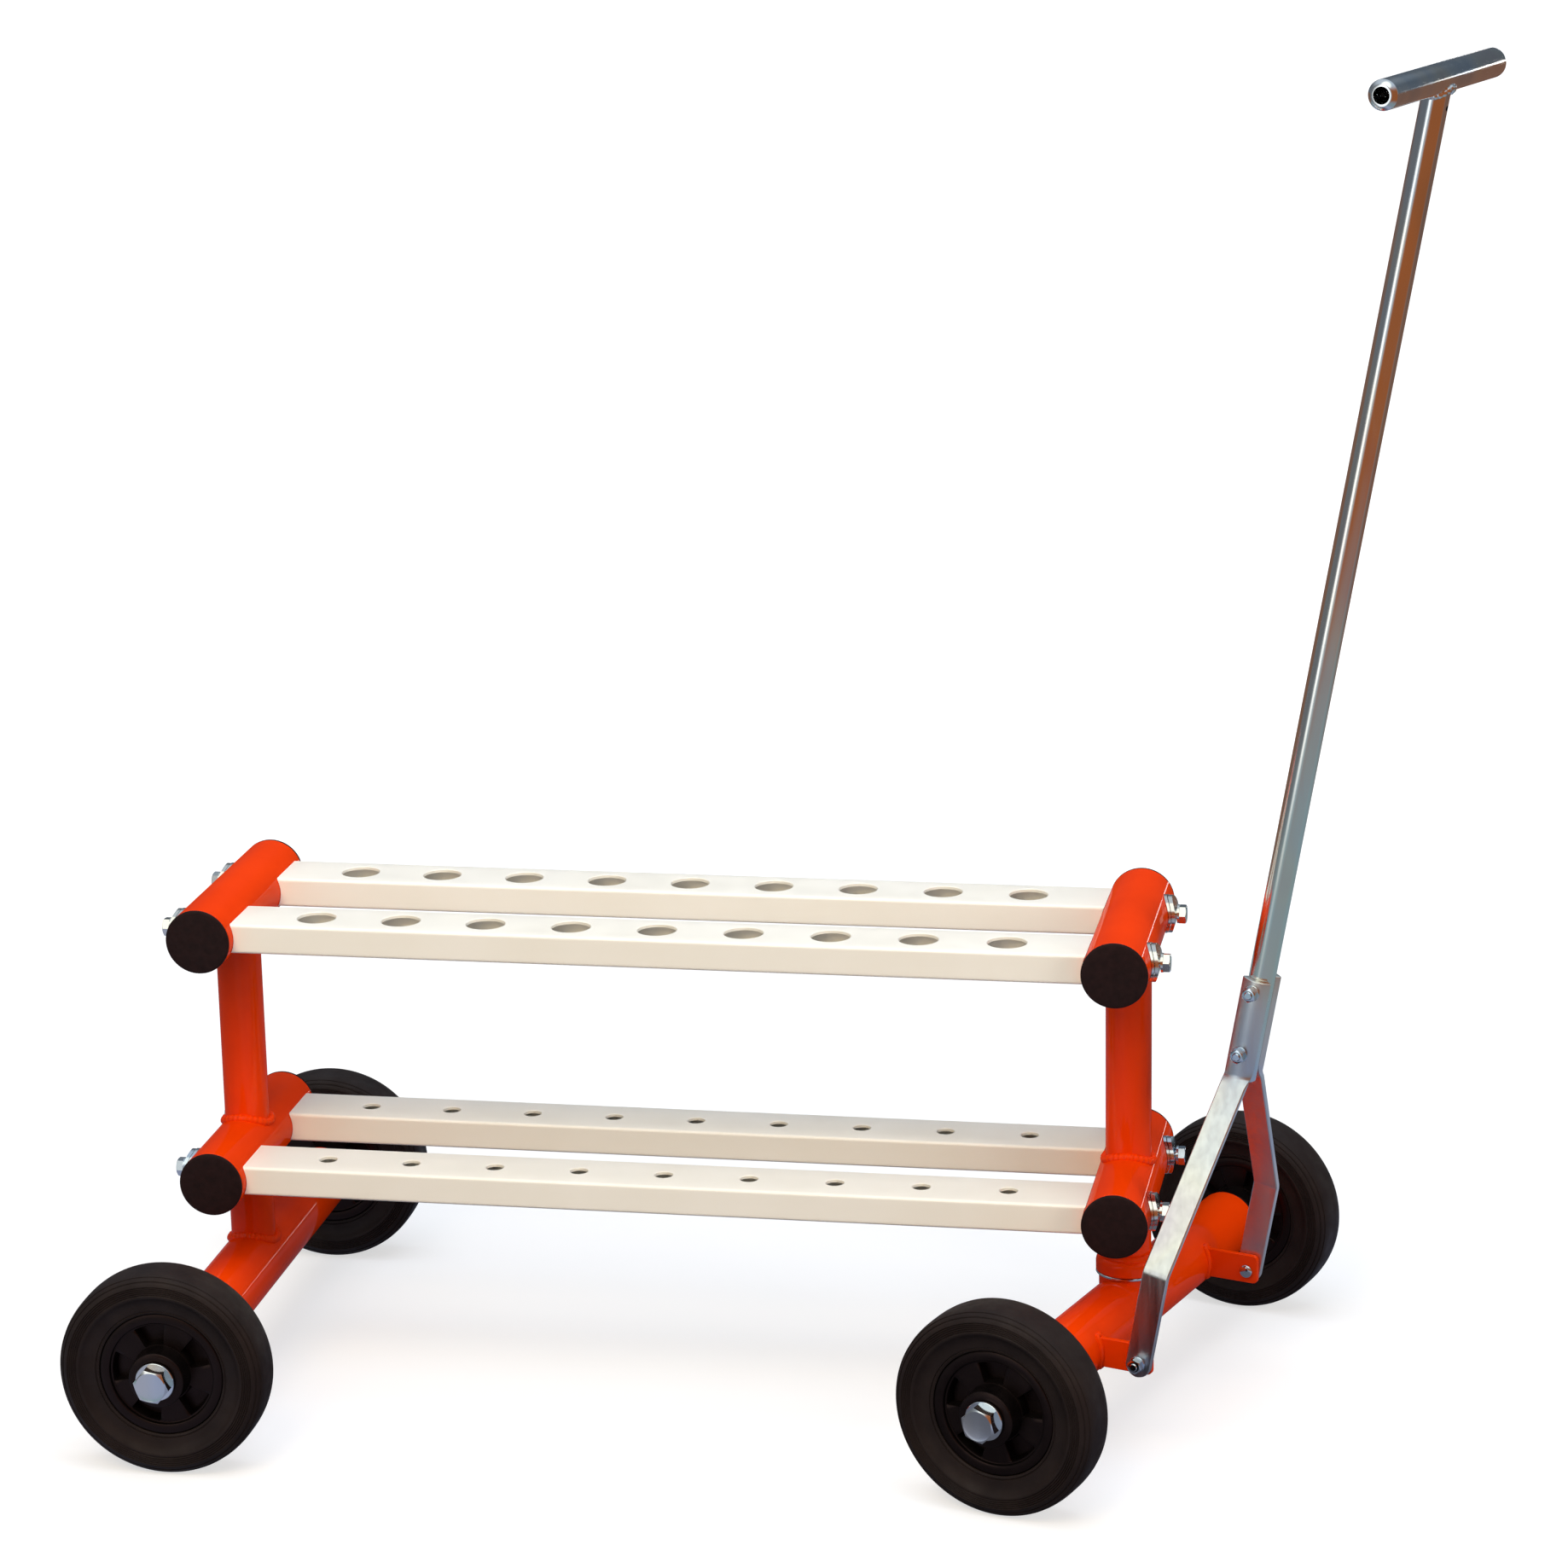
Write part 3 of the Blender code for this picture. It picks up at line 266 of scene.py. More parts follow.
def shade(mesh, degrees=SMOOTH_DEGREES):
    mesh.shade_smooth()
    mesh.set_sharp_from_angle(angle=math.radians(degrees))


def cut(obj, shell):
    """Takes a shell's space out of an object."""
    cutter = as_object("form", shell)
    modifier = obj.modifiers.new("cut", "BOOLEAN")
    modifier.operation = "DIFFERENCE"
    modifier.solver = "EXACT"
    modifier.object = cutter
    bpy.context.view_layer.update()
    depsgraph = bpy.context.evaluated_depsgraph_get()
    mesh = bpy.data.meshes.new_from_object(obj.evaluated_get(depsgraph))
    obj.modifiers.clear()
    obj.data = mesh
    bpy.data.objects.remove(cutter)


def piece(name, shell, finish, node, smooth=SMOOTH_DEGREES):
    """Makes the object, rides it on its node's body and hides that node."""
    obj = as_object(name, shell, weld=True)
    shade(obj.data, smooth)
    obj.data.materials.append(MATERIALS[finish])
    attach(obj, BODY_OF[node])
    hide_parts(node)
    return obj


# Materials

def fill(node, values):
    """Sets a shader node's own sockets by name."""
    for name, value in values.items():
        node.inputs[name].default_value = value
    return node


class Finish:
    """Node material on a Principled shader, its patterns laid out in object coordinates."""

    def __init__(self, name, colour, roughness, metallic=0.0, extras=None):
        self.material = bpy.data.materials.new(name)
        self.material.use_nodes = True
        self.material.diffuse_color = (*colour, 1)
        self.tree = self.material.node_tree
        self.shader = fill(self.tree.nodes["Principled BSDF"], {
            "Base Color": (*colour, 1), "Roughness": roughness, "Metallic": metallic,
            **(extras or {})})
        self.place = self.tree.nodes.new("ShaderNodeTexCoord").outputs["Object"]
        self.bump = None

    def node(self, kind, source, socket, values):
        """New node with its values, fed by source at one socket."""
        made = fill(self.tree.nodes.new(kind), values)
        self.tree.links.new(source, made.inputs[socket])
        return made

    def noise(self, scale, detail, rough=0.5, stretch=None, distortion=0.0):
        """Noise over the object; stretch gives it a scale for each axis."""
        place = self.place
        if stretch:
            place = self.node("ShaderNodeMapping", place, "Vector",
                              {"Scale": stretch}).outputs["Vector"]
        return self.node("ShaderNodeTexNoise", place, "Vector", {
            "Scale": scale, "Detail": detail, "Roughness": rough,
            "Distortion": distortion}).outputs["Fac"]

    def tint(self, noise, stops):
        """Runs the colour through (level, colour) stops as the noise rises."""
        made = self.node("ShaderNodeValToRGB", noise, "Fac", {})
        elements = made.color_ramp.elements
        while len(elements) < len(stops):
            elements.new(0.5)
        for element, (position, colour) in zip(elements, stops):
            element.position = position
            element.color = (*colour, 1)
        self.tree.links.new(made.outputs["Color"], self.shader.inputs["Base Color"])

    def roughen(self, noise, low, high, levels=(0.3, 0.7)):
        """Lets the roughness wander from low to high between two levels of the noise."""
        made = self.node("ShaderNodeMapRange", noise, "Value", {
            "From Min": levels[0], "From Max": levels[1], "To Min": low, "To Max": high})
        self.tree.links.new(made.outputs["Result"], self.shader.inputs["Roughness"])

    def emboss(self, noise, strength, distance):
        """Adds a bump to those before it."""
        made = self.node("ShaderNodeBump", noise, "Height",
                         {"Strength": strength, "Distance": distance})
        if self.bump:
            self.tree.links.new(self.bump, made.inputs["Normal"])
        self.bump = made.outputs["Normal"]
        self.tree.links.new(self.bump, self.shader.inputs["Normal"])


def orange_paint():
    """Glossy powder coat: a deep, even pigment under a thin clear layer, which alone mirrors."""
    paint = Finish("orange_paint", (0.80, 0.045, 0.001), 0.22, extras={
        "Specular IOR Level": 0.0, "Coat Weight": 0.28, "Coat Roughness": 0.03})
    paint.tint(paint.noise(16, 3), [(0.30, (0.77, 0.042, 0.0008)), (0.70, (0.84, 0.049, 0.0012))])
    paint.roughen(paint.noise(60, 4), 0.17, 0.27, (0.35, 0.65))
    paint.emboss(paint.noise(260, 1.5), 0.02, 0.0004)
    return paint.material


def cream_paint():
    """Off-white powder coat with a soft sheen."""
    paint = Finish("cream_paint", (0.95, 0.92, 0.85), 0.34, extras={
        "Coat Weight": 0.10, "Coat Roughness": 0.12})
    paint.tint(paint.noise(12, 3), [(0.30, (0.935, 0.905, 0.825)), (0.70, (0.965, 0.94, 0.875))])
    paint.roughen(paint.noise(50, 4), 0.28, 0.42, (0.35, 0.65))
    paint.emboss(paint.noise(420, 1.5), 0.05, 0.0004)
    return paint.material


def zinc_plate(name, low, high, tints):
    """Zinc plating with faint tints and drawing lines, its roughness from low to high."""
    zinc = Finish(name, (0.74, 0.76, 0.77), (low + high) / 2, 1.0)
    zinc.tint(zinc.noise(1.0, 2, 0.5, (16, 16, 5), 0.4), tints)
    zinc.roughen(zinc.noise(1.0, 3, 0.6, (220, 220, 12)), low, high)
    zinc.emboss(zinc.noise(1.0, 2, 0.5, (900, 900, 24)), 0.012, 0.0002)
    return zinc.material


def bright_zinc():
    """Bright passivated zinc of the handle and the fasteners."""
    return zinc_plate("bright_zinc", 0.10, 0.20, [
        (0.32, (0.56, 0.66, 0.76)), (0.47, (0.74, 0.78, 0.79)),
        (0.58, (0.80, 0.79, 0.72)), (0.72, (0.74, 0.66, 0.66))])


def zinc_bar():
    """The same plating on the rolled flat bar of the legs, duller and a little greener."""
    return zinc_plate("zinc_bar", 0.30, 0.44, [
        (0.30, (0.58, 0.64, 0.70)), (0.46, (0.74, 0.77, 0.75)),
        (0.58, (0.80, 0.80, 0.72)), (0.72, (0.70, 0.66, 0.68))])


def black_cap():
    """Matt moulded plastic of the end caps."""
    cap = Finish("black_cap", (0.014, 0.007, 0.007), 0.60, extras={"Specular IOR Level": 0.15})
    cap.tint(cap.noise(160, 3), [(0.3, (0.011, 0.0055, 0.0055)), (0.7, (0.018, 0.008, 0.008))])
    cap.roughen(cap.noise(300, 3), 0.50, 0.70)
    cap.emboss(cap.noise(900, 2), 0.18, 0.0003)
    return cap.material


def black_rim():
    """Moulded wheel centre, smoother and blacker than the tyre."""
    rim = Finish("black_rim", (0.0025, 0.0018, 0.0018), 0.34, extras={
        "Specular IOR Level": 0.30, "Specular Tint": (1.0, 0.62, 0.55, 1)})
    rim.tint(rim.noise(120, 3), [(0.3, (0.0018, 0.0014, 0.0014)), (0.7, (0.0034, 0.0026, 0.0026))])
    rim.roughen(rim.noise(150, 4), 0.27, 0.42)
    rim.emboss(rim.noise(1100, 2), 0.08, 0.0002)
    return rim.material


def tyre_rubber():
    """Rubber, faintly brown, with dust-dry roughness."""
    rubber = Finish("tyre_rubber", (0.014, 0.0090, 0.0080), 0.60, extras={
        "Specular IOR Level": 0.22})
    rubber.tint(rubber.noise(45, 4), [(0.3, (0.011, 0.0070, 0.0064)),
                                      (0.7, (0.018, 0.0118, 0.0102))])
    rubber.roughen(rubber.noise(80, 4), 0.50, 0.68)
    rubber.emboss(rubber.noise(1400, 2), 0.20, 0.0003)
    rubber.emboss(rubber.noise(120, 3), 0.08, 0.0005)
    return rubber.material


def sleeve_steel():
    """Turned steel of the wheel sleeves."""
    steel = Finish("sleeve_steel", (0.60, 0.60, 0.60), 0.32, 1.0)
    steel.tint(steel.noise(90, 3), [(0.3, (0.50, 0.50, 0.51)), (0.7, (0.68, 0.67, 0.65))])
    steel.roughen(steel.noise(200, 3), 0.24, 0.42)
    steel.emboss(steel.noise(900, 2), 0.08, 0.0002)
    return steel.material


MATERIALS = {make.__name__: make() for make in (
    orange_paint, cream_paint, bright_zinc, zinc_bar, black_cap, black_rim, tyre_rubber,
    sleeve_steel)}


# Frames

COLLAR_LOW = 0.1085
COLLAR_HIGH = 0.120
COLLAR_BEAD_RADIUS = 0.0186
FRONT_POST_FOOT = COLLAR_LOW + 0.002


def frame_tubes(shell, place, low):
    """Post from low up to the top cross tube, and the two cross tubes with their beads."""
    tube(shell, POST, low, LEVELS["top"], place)
    for height in LEVELS.values():
        tube(shell, TUBE, -CROSS_LENGTH / 2, CROSS_LENGTH / 2,
             place @ shift(0, 0, height) @ ALONG_Y)
    for level, up in (("top", -1), ("bottom", 1), ("bottom", -1)):
        junction(shell, POST, TUBE, LEVELS[level], up, place)


rear = Shell()
frame_tubes(rear, CHASSIS, AXLE_Z)
tube(rear, TUBE, -AXLE_LENGTH / 2, AXLE_LENGTH / 2, CHASSIS @ shift(0, 0, AXLE_Z) @ ALONG_Y)
junction(rear, POST, TUBE, AXLE_Z, 1, CHASSIS)
piece("rear_frame_tubes", rear, "orange_paint", "rear_frame")

front = Shell()
frame_tubes(front, FRONT, FRONT_POST_FOOT)
lathe(front, [(0, COLLAR_LOW), (0.0244, COLLAR_LOW), (0.0250, COLLAR_LOW + 0.0006),
              (0.0250, COLLAR_HIGH - 0.0042), (0.0246, COLLAR_HIGH - 0.0024),
              (0.0236, COLLAR_HIGH - 0.0011), (0.0222, COLLAR_HIGH - 0.0003),
              (0.0206, COLLAR_HIGH), (0, COLLAR_HIGH)], FRONT, 72)
collar_bead = [(*on_circle(COLLAR_BEAD_RADIUS, math.tau * k / 120), COLLAR_HIGH + 0.0006)
               for k in range(120)]
weld_bead(front, collar_bead, 0.0032, FRONT, 12, 0.10, 36)
piece("front_frame_tubes", front, "orange_paint", "front_frame")


# Front axle

SLIP_THICK = 0.0019
SLIP_LOW, SLIP_HIGH = COLLAR_LOW - SEAT - SLIP_THICK, COLLAR_LOW - SEAT
FLANGE_RADIUS = 0.0226
FLANGE_LOW, FLANGE_TOP = 0.096, SLIP_LOW - SEAT
SLEEVE_RADIUS = 0.014
SLEEVE_LOW = AXLE_Z - 0.027
SLEEVE_BORE = 0.0085
LUG_IN = 0.0997
LUG_THICK = 0.004
LUG_BACK, LUG_TIP = 0.018, PIVOT_REACH + 0.009
LUG_LOW, LUG_HIGH = AXLE_Z - 0.010, AXLE_Z + 0.013
LUG_CORNER = 0.004


def lug_bead(middle):
    """Path of the bead round a lug's foot, a rounded oblong laid on the axle tube."""
    path = []
    for k in range(60):
        x, y = on_circle(1, math.tau * k / 60)
        across = (LUG_THICK / 2 + 0.0006) * max(-1, min(1, 1.6 * x))
        height = 0.0015 + 0.0120 * max(-1, min(1, 1.15 * y))
        reach = math.sqrt(TUBE ** 2 - height ** 2)
        path.append((reach * 0.995, middle + across, AXLE_Z + height))
    return path


axle = Shell()
tube(axle, TUBE, -AXLE_LENGTH / 2, AXLE_LENGTH / 2, STEERING @ shift(0, 0, AXLE_Z) @ ALONG_Y)
lathe(axle, [(0, FLANGE_LOW), (FLANGE_RADIUS, FLANGE_LOW), (FLANGE_RADIUS, FLANGE_TOP - 0.0008),
             (FLANGE_RADIUS - 0.0008, FLANGE_TOP), (0, FLANGE_TOP)], STEERING, 72)
lathe(axle, [(0, AXLE_Z), (SLEEVE_RADIUS, AXLE_Z), (SLEEVE_RADIUS, SLEEVE_LOW + 0.0006),
             (SLEEVE_RADIUS - 0.0006, SLEEVE_LOW), (SLEEVE_BORE, SLEEVE_LOW),
             (SLEEVE_BORE, SLEEVE_LOW + 0.006), (0, SLEEVE_LOW + 0.006)], STEERING, 48)
junction(axle, SLEEVE_RADIUS, TUBE, AXLE_Z, -1, STEERING, 0.0028, 28)
lug_line = rounded([(LUG_BACK, LUG_LOW, 0), (LUG_TIP, LUG_LOW, LUG_CORNER),
                    (LUG_TIP, LUG_HIGH, LUG_CORNER), (LUG_BACK, LUG_HIGH, 0)], 5)
for sign in SIDES.values():
    middle = sign * (LUG_IN + LUG_THICK / 2)
    stand = STEERING @ shift(0, middle, 0) @ turn(90, "X")
    prism(axle, lug_line, -LUG_THICK / 2, LUG_THICK / 2, stand, 0.0005)
    weld_bead(axle, lug_bead(middle), 0.0024, STEERING, 10, 0.12, 26)
piece("front_axle_tubes", axle, "orange_paint", "front_axle")

slip = Shell()
lathe(slip, [(SLEEVE_BORE, SLIP_LOW), (0.0246, SLIP_LOW), (0.0250, SLIP_LOW + 0.0004),
             (0.0250, SLIP_HIGH - 0.0004), (0.0246, SLIP_HIGH), (SLEEVE_BORE, SLIP_HIGH)],
      STEERING, 72, True)
piece("slip_washer_disc", slip, "bright_zinc", "slip_washer")


# Caps

CAP_PROFILE = [(0, -0.004), (0.0220, -0.004), (0.0220, 0), (0.0246, 0), (0.0250, 0.0004),
               (0.0250, 0.0012), (0.0247, 0.0018), (0.0240, 0.0022), (0.0228, 0.00242),
               (0.0120, 0.0025), (0, 0.0025)]

for end, base in FRAMES.items():
    for level, height in LEVELS.items():
        for side, sign in SIDES.items():
            cap = Shell()
            place = base @ shift(0, sign * (CROSS_LENGTH / 2 + SEAT), height)
            lathe(cap, CAP_PROFILE, place @ turn(-90 * sign, "X"), 72)
            name = f"end_cap_{end}_{level}_{side}"
            piece(name + "_disc", cap, "black_cap", name)


# Rails

RAIL_WIDTH, RAIL_HEIGHT = 0.052, 0.023
RAIL_WALL = 0.0025
RAIL_PLUG = 0.0615  # from a post's axis to the start of the hollow
HOLE_COUNT, HOLE_FIRST, HOLE_PITCH = 9, 0.084, 0.0665
HOLE_RADII = {"top": 0.015, "bottom": 0.007}
HOLE_FLARE = 0.0005
COPE_HALF = 0.04
CUT_PAST = 0.001  # how far a cutter stands past what it cuts


def rail_outline(inset, radius):
    half_y, half_z = RAIL_WIDTH / 2 - inset, RAIL_HEIGHT / 2 - inset
    return rounded([(-half_y, -half_z, radius), (half_y, -half_z, radius),
                    (half_y, half_z, radius), (-half_y, half_z, radius)], 6)


def rail_mesh(hole_radius):
    """Rail with its holes, about the middle of its height, from the rear post on."""
    along = Matrix(((0, 0, 1, 0), (1, 0, 0, 0), (0, 1, 0, 0), (0, 0, 0, 1)))
    solid, inner, copes, holes = Shell(), Shell(), Shell(), Shell()
    prism(solid, rail_outline(0, 0.0024), 0, WHEELBASE, along)
    prism(inner, rail_outline(RAIL_WALL, 0.0008), RAIL_PLUG, WHEELBASE - RAIL_PLUG, along)
    for x in (0, WHEELBASE):
        tube(copes, TUBE + SEAT, -COPE_HALF, COPE_HALF, shift(x) @ ALONG_Y, 96, 0)
    half = RAIL_HEIGHT / 2
    wide = hole_radius + HOLE_FLARE + CUT_PAST
    profile = [(0, -half - CUT_PAST), (wide, -half - CUT_PAST), (hole_radius, HOLE_FLARE - half),
               (hole_radius, half - HOLE_FLARE), (wide, half + CUT_PAST), (0, half + CUT_PAST)]
    for k in range(HOLE_COUNT):
        lathe(holes, profile, shift(HOLE_FIRST + HOLE_PITCH * k), 48)
    rail = as_object("rail", solid)
    for cutter in (inner, copes, holes):
        cut(rail, cutter)
    mesh = rail.data
    bpy.data.objects.remove(rail)
    return mesh


for level, height in LEVELS.items():
    mesh = rail_mesh(HOLE_RADII[level])
    for side, sign in SIDES.items():
        shell = Shell()
        shell.add([v.co[:] for v in mesh.vertices], [list(p.vertices) for p in mesh.polygons],
                  CHASSIS @ shift(0, sign * RAIL_Y, height))
        piece(f"{level}_rail_tube_{side}", shell, "cream_paint", f"{level}_rail_{side}")


# Fasteners

HEX_CHAMFER_DEGREES = 30
RAIL_BOLT_RADIUS, RAIL_BOLT_FLATS, RAIL_HEAD_HIGH = 0.004, 0.013, 0.0053
SPLIT_BORE, SPLIT_RADIUS, SPLIT_THICK = 0.0042, 0.0073, 0.0020
KINGPIN_RADIUS, KINGPIN_FLATS, KINGPIN_HEAD_HIGH = 0.008, 0.024, 0.010
KINGPIN_TIP = 0.075
SADDLE_BORE = 0.0046
SADDLE_SHEETS = ((0.0150, SEAT, 0.0022), (0.0146, 0.0026, 0.0053))  # radius, from, to
SADDLE_THICK = 0.005
SPIN_DEGREES = 12  # how far a rail bolt's head may be turned from square


def hex_head(shell, flats, low, high, place, chamfer, dish=0.0, bore=0.0):
    """Hexagon head with the scalloped chamfer that turning leaves on its corners.

    Its flat face keeps the chamfer's share of the width over flats, dished or bored through.
    """
    steps = 72
    apothem = flats / 2
    face = apothem * chamfer
    rows = [[], [], [], []]
    for k in range(steps):
        angle = math.tau * k / steps
        off = (angle + math.pi / 6) % (math.pi / 3) - math.pi / 6
        reach = apothem / math.cos(off)
        edge = high - (reach - face) * math.tan(math.radians(HEX_CHAMFER_DEGREES))
        x, y = on_circle(1, angle)
        inner = bore or face * 0.80
        for row, (radius, height) in zip(rows, ((reach, low), (reach, edge), (face, high),
                                                (inner, high - dish))):
            row.append((radius * x, radius * y, height))
    verts = [v for row in rows for v in row]
    faces = []
    for level in range(3):
        faces += band(level * steps, (level + 1) * steps, steps)
    if bore:
        verts += [(*on_circle(bore, math.tau * k / steps), low) for k in range(steps)]
        faces += band(3 * steps, 4 * steps, steps) + band(4 * steps, 0, steps)
    else:
        faces += [list(range(steps)), list(range(3 * steps, 4 * steps))]
    shell.add(verts, faces, place)


def split_washer(shell, bore, radius, low, high, place):
    """Spring washer: a cut ring whose two ends stand a little apart."""
    steps, rise = 44, 0.0003
    gap, turned = 6, 348  # degrees
    thick = high - low - rise
    verts, faces = [], []
    for k in range(steps + 1):
        angle = math.radians(gap + turned * k / steps)
        foot = low + rise * k / steps
        for r, z in ((bore, foot), (radius, foot), (radius, foot + thick), (bore, foot + thick)):
            verts.append((*on_circle(r, angle), z))
    for k in range(steps):
        faces += band(4 * k, 4 * (k + 1), 4)
    faces += [[0, 1, 2, 3], [4 * steps + c for c in range(4)]]
    shell.add(verts, faces, place)


def curved_disc(shell, radius, bore, inner, outer, place):
    """Round plate bent to lie on a tube along Y, between two radii from that tube's axis."""
    steps = 64
    rings = [bore, (bore + radius) / 2, radius]
    count = len(rings)
    verts, faces = [], []
    for bend in (inner, outer):
        for ring in rings:
            for k in range(steps):
                x, y = on_circle(ring, math.tau * k / steps)
                verts.append((x, y, math.sqrt(bend ** 2 - x ** 2)))
    for sheet in range(2):
        for ring in range(count - 1):
            start = (sheet * count + ring) * steps
            faces += band(start, start + steps, steps)
    for ring in (0, count - 1):
        faces += band(ring * steps, (count + ring) * steps, steps)
    shell.add(verts, faces, place)


rng = random.Random(7)
for end, base in FRAMES.items():
    for level, height in LEVELS.items():
        for side, sign in SIDES.items():
            station = f"{end}_{level}_{side}"
            place = base @ shift(0, sign * RAIL_Y, height) @ turn(90 * ENDS[end], "Y")
            saddle = Shell()
            for radius, start, stop in SADDLE_SHEETS:
                curved_disc(saddle, radius, SADDLE_BORE, TUBE + start, TUBE + stop, place)
            piece(f"saddle_plates_{station}", saddle, "bright_zinc", f"saddle_washer_{station}")
            bolt = Shell()
            foot = TUBE + SEAT + SADDLE_THICK + SEAT
            spin = place @ turn(rng.uniform(-SPIN_DEGREES, SPIN_DEGREES), "Z")
            under_head = foot + SPLIT_THICK
            split_washer(bolt, SPLIT_BORE, SPLIT_RADIUS, foot, under_head, spin)
            tube(bolt, RAIL_BOLT_RADIUS, TUBE - 0.004, foot + 0.003, spin, 32, 0.0002)
            hex_head(bolt, RAIL_BOLT_FLATS, under_head, under_head + RAIL_HEAD_HIGH, spin,
                     0.93, 0.0003)
            piece(f"rail_screw_{station}", bolt, "bright_zinc", f"rail_bolt_{station}")

kingpin = Shell()
seat = SLEEVE_LOW - SEAT
under = STEERING @ turn(180, "X")
hex_head(kingpin, KINGPIN_FLATS, -seat, -seat + KINGPIN_HEAD_HIGH, under, 0.93, 0.0003)
tube(kingpin, KINGPIN_RADIUS, -KINGPIN_TIP, -seat + 0.002, under, 40, 0.0002)
piece("kingpin_screw", kingpin, "bright_zinc", "kingpin_bolt")


# Wheels; each is made about Z, with +Z to the outside

WHEEL_BOLT_TURN = {"rear_near": 20.0, "rear_far": 5.0, "front_near": 14.0, "front_far": 33.0}
WHEEL_PHASES = {"rear_near": 103.0, "rear_far": 38.6, "front_near": 92.0, "front_far": 12.9}
TYRE_SMOOTH_DEGREES, RIM_SMOOTH_DEGREES = 40, 50
GROOVES, GROOVE_FIRST, GROOVE_PITCH = 5, 0.0648, 0.00150
BUSH_BORE, BUSH_RADIUS, BUSH_END = 0.0085, 0.0100, 0.0270
WHEEL_BOLT_RADIUS, WHEEL_BOLT_FLATS = 0.008, 0.024
WHEEL_WASHER_BORE, WHEEL_WASHER_RADIUS, WHEEL_WASHER_THICK = 0.0075, 0.0150, 0.0027
WHEEL_HEAD_HIGH = 0.010
PLUG_FACE = AXLE_LENGTH / 2 - WHEEL_Y


def tyre_profile():
    """One half of the section, from the bore round the side to the middle of the tread."""
    half = [(0.0483, 0.0140), (0.0490, 0.0146), (0.0499, 0.0148), (0.0502, 0.0143),
            (0.0508, 0.0142), (0.0512, 0.0150), (0.0530, 0.0153), (0.0555, 0.0156),
            (0.0580, 0.0163), (0.0602, 0.0174), (0.0617, 0.0187), (0.0626, 0.0196),
            (0.0636, 0.0199), (0.0644, 0.0199)]
    for k in range(GROOVES):
        foot = GROOVE_FIRST + GROOVE_PITCH * k
        half += [(foot, 0.0194), (foot + 0.00035, 0.0192), (foot + 0.0007, 0.0194),
                 (foot + 0.0010, 0.0199), (foot + 0.0013, 0.0199)]
    half += [(0.0726, 0.0196), (0.0737, 0.0190), (0.0745, 0.0185), (0.0748, 0.0176),
             (0.0753, 0.0173), (0.0757, 0.0177), (0.0766, 0.0171), (0.0773, 0.0162),
             (0.0775, 0.0153), (0.0779, 0.0149), (0.0784, 0.0150), (0.0790, 0.0136),
             (0.0795, 0.0110), (0.0798, 0.0078), (0.0799, 0.0040)]
    return half


# The rim's half thickness by radius. A pocket's rings give the drop below the pad instead, as do
# its sides by swing, the share of half a pocket from its middle
HUB, RING, PAD, DEEP = 0.0265, 0.0140, 0.0110, 0.0088
PLAIN_RINGS = {
    0.0105: HUB - 0.0006, 0.0112: HUB, 0.0206: HUB, 0.0212: HUB - 0.0004, 0.0215: HUB - 0.0014,
    0.0218: PAD + 0.0009, 0.0224: PAD, 0.0392: PAD, 0.0396: PAD, 0.0400: PAD + 0.0002,
    0.0402: RING - 0.0010, 0.0406: RING - 0.0003, 0.0414: RING, 0.0440: RING, 0.0468: RING,
    0.0475: RING - 0.0003, 0.0480: RING - 0.0010}
POCKET_RINGS = {0.0229: 0.0, 0.0231: 0.0005, 0.0234: 0.0016, 0.0240: DEEP, 0.030: DEEP,
                0.0370: DEEP, 0.0380: 0.0016, 0.0385: 0.0005, 0.0388: 0.0}
POCKET_SIDES = {1.0: 0.0, 0.965: 0.0005, 0.94: 0.0016}
POCKET_SWINGS = (-1.0, -0.965, -0.94, -0.90, -0.6, -0.3, 0.0, 0.3, 0.6, 0.90, 0.94, 0.965, 1.0)
POCKETS = 5
HALF_POCKET = math.radians(18.5)
BETWEEN_POCKETS = 2.0  # stands for a swing outside every pocket


def rim_height(radius, swing):
    if radius in PLAIN_RINGS:
        return PLAIN_RINGS[radius]
    if swing == BETWEEN_POCKETS:
        return PAD
    return PAD - min(POCKET_RINGS[radius], POCKET_SIDES.get(swing, DEEP))


def rim_mesh(shell, place):
    """Moulded centre on a polar grid: ring, pads, hub, and pockets with drafted sides."""
    radii = sorted({**PLAIN_RINGS, **POCKET_RINGS})
    angles = []
    rest = math.tau / POCKETS - 2 * HALF_POCKET
    for pocket in range(POCKETS):
        middle = math.tau * pocket / POCKETS
        angles += [(middle + HALF_POCKET * step, abs(step)) for step in POCKET_SWINGS]
        angles += [(middle + HALF_POCKET + rest * k / 8, BETWEEN_POCKETS) for k in range(1, 8)]
    verts, faces = [], []
    for facing in (1, -1):
        for radius in radii:
            for angle, swing in angles:
                verts.append((*on_circle(radius, angle), facing * rim_height(radius, swing)))
    rows, count = len(radii), len(angles)
    for facing in range(2):
        for row in range(rows - 1):
            start = (facing * rows + row) * count
            faces += band(start, start + count, count)
    for row in (0, rows - 1):
        faces += band(row * count, (rows + row) * count, count)
    shell.add(verts, faces, place)


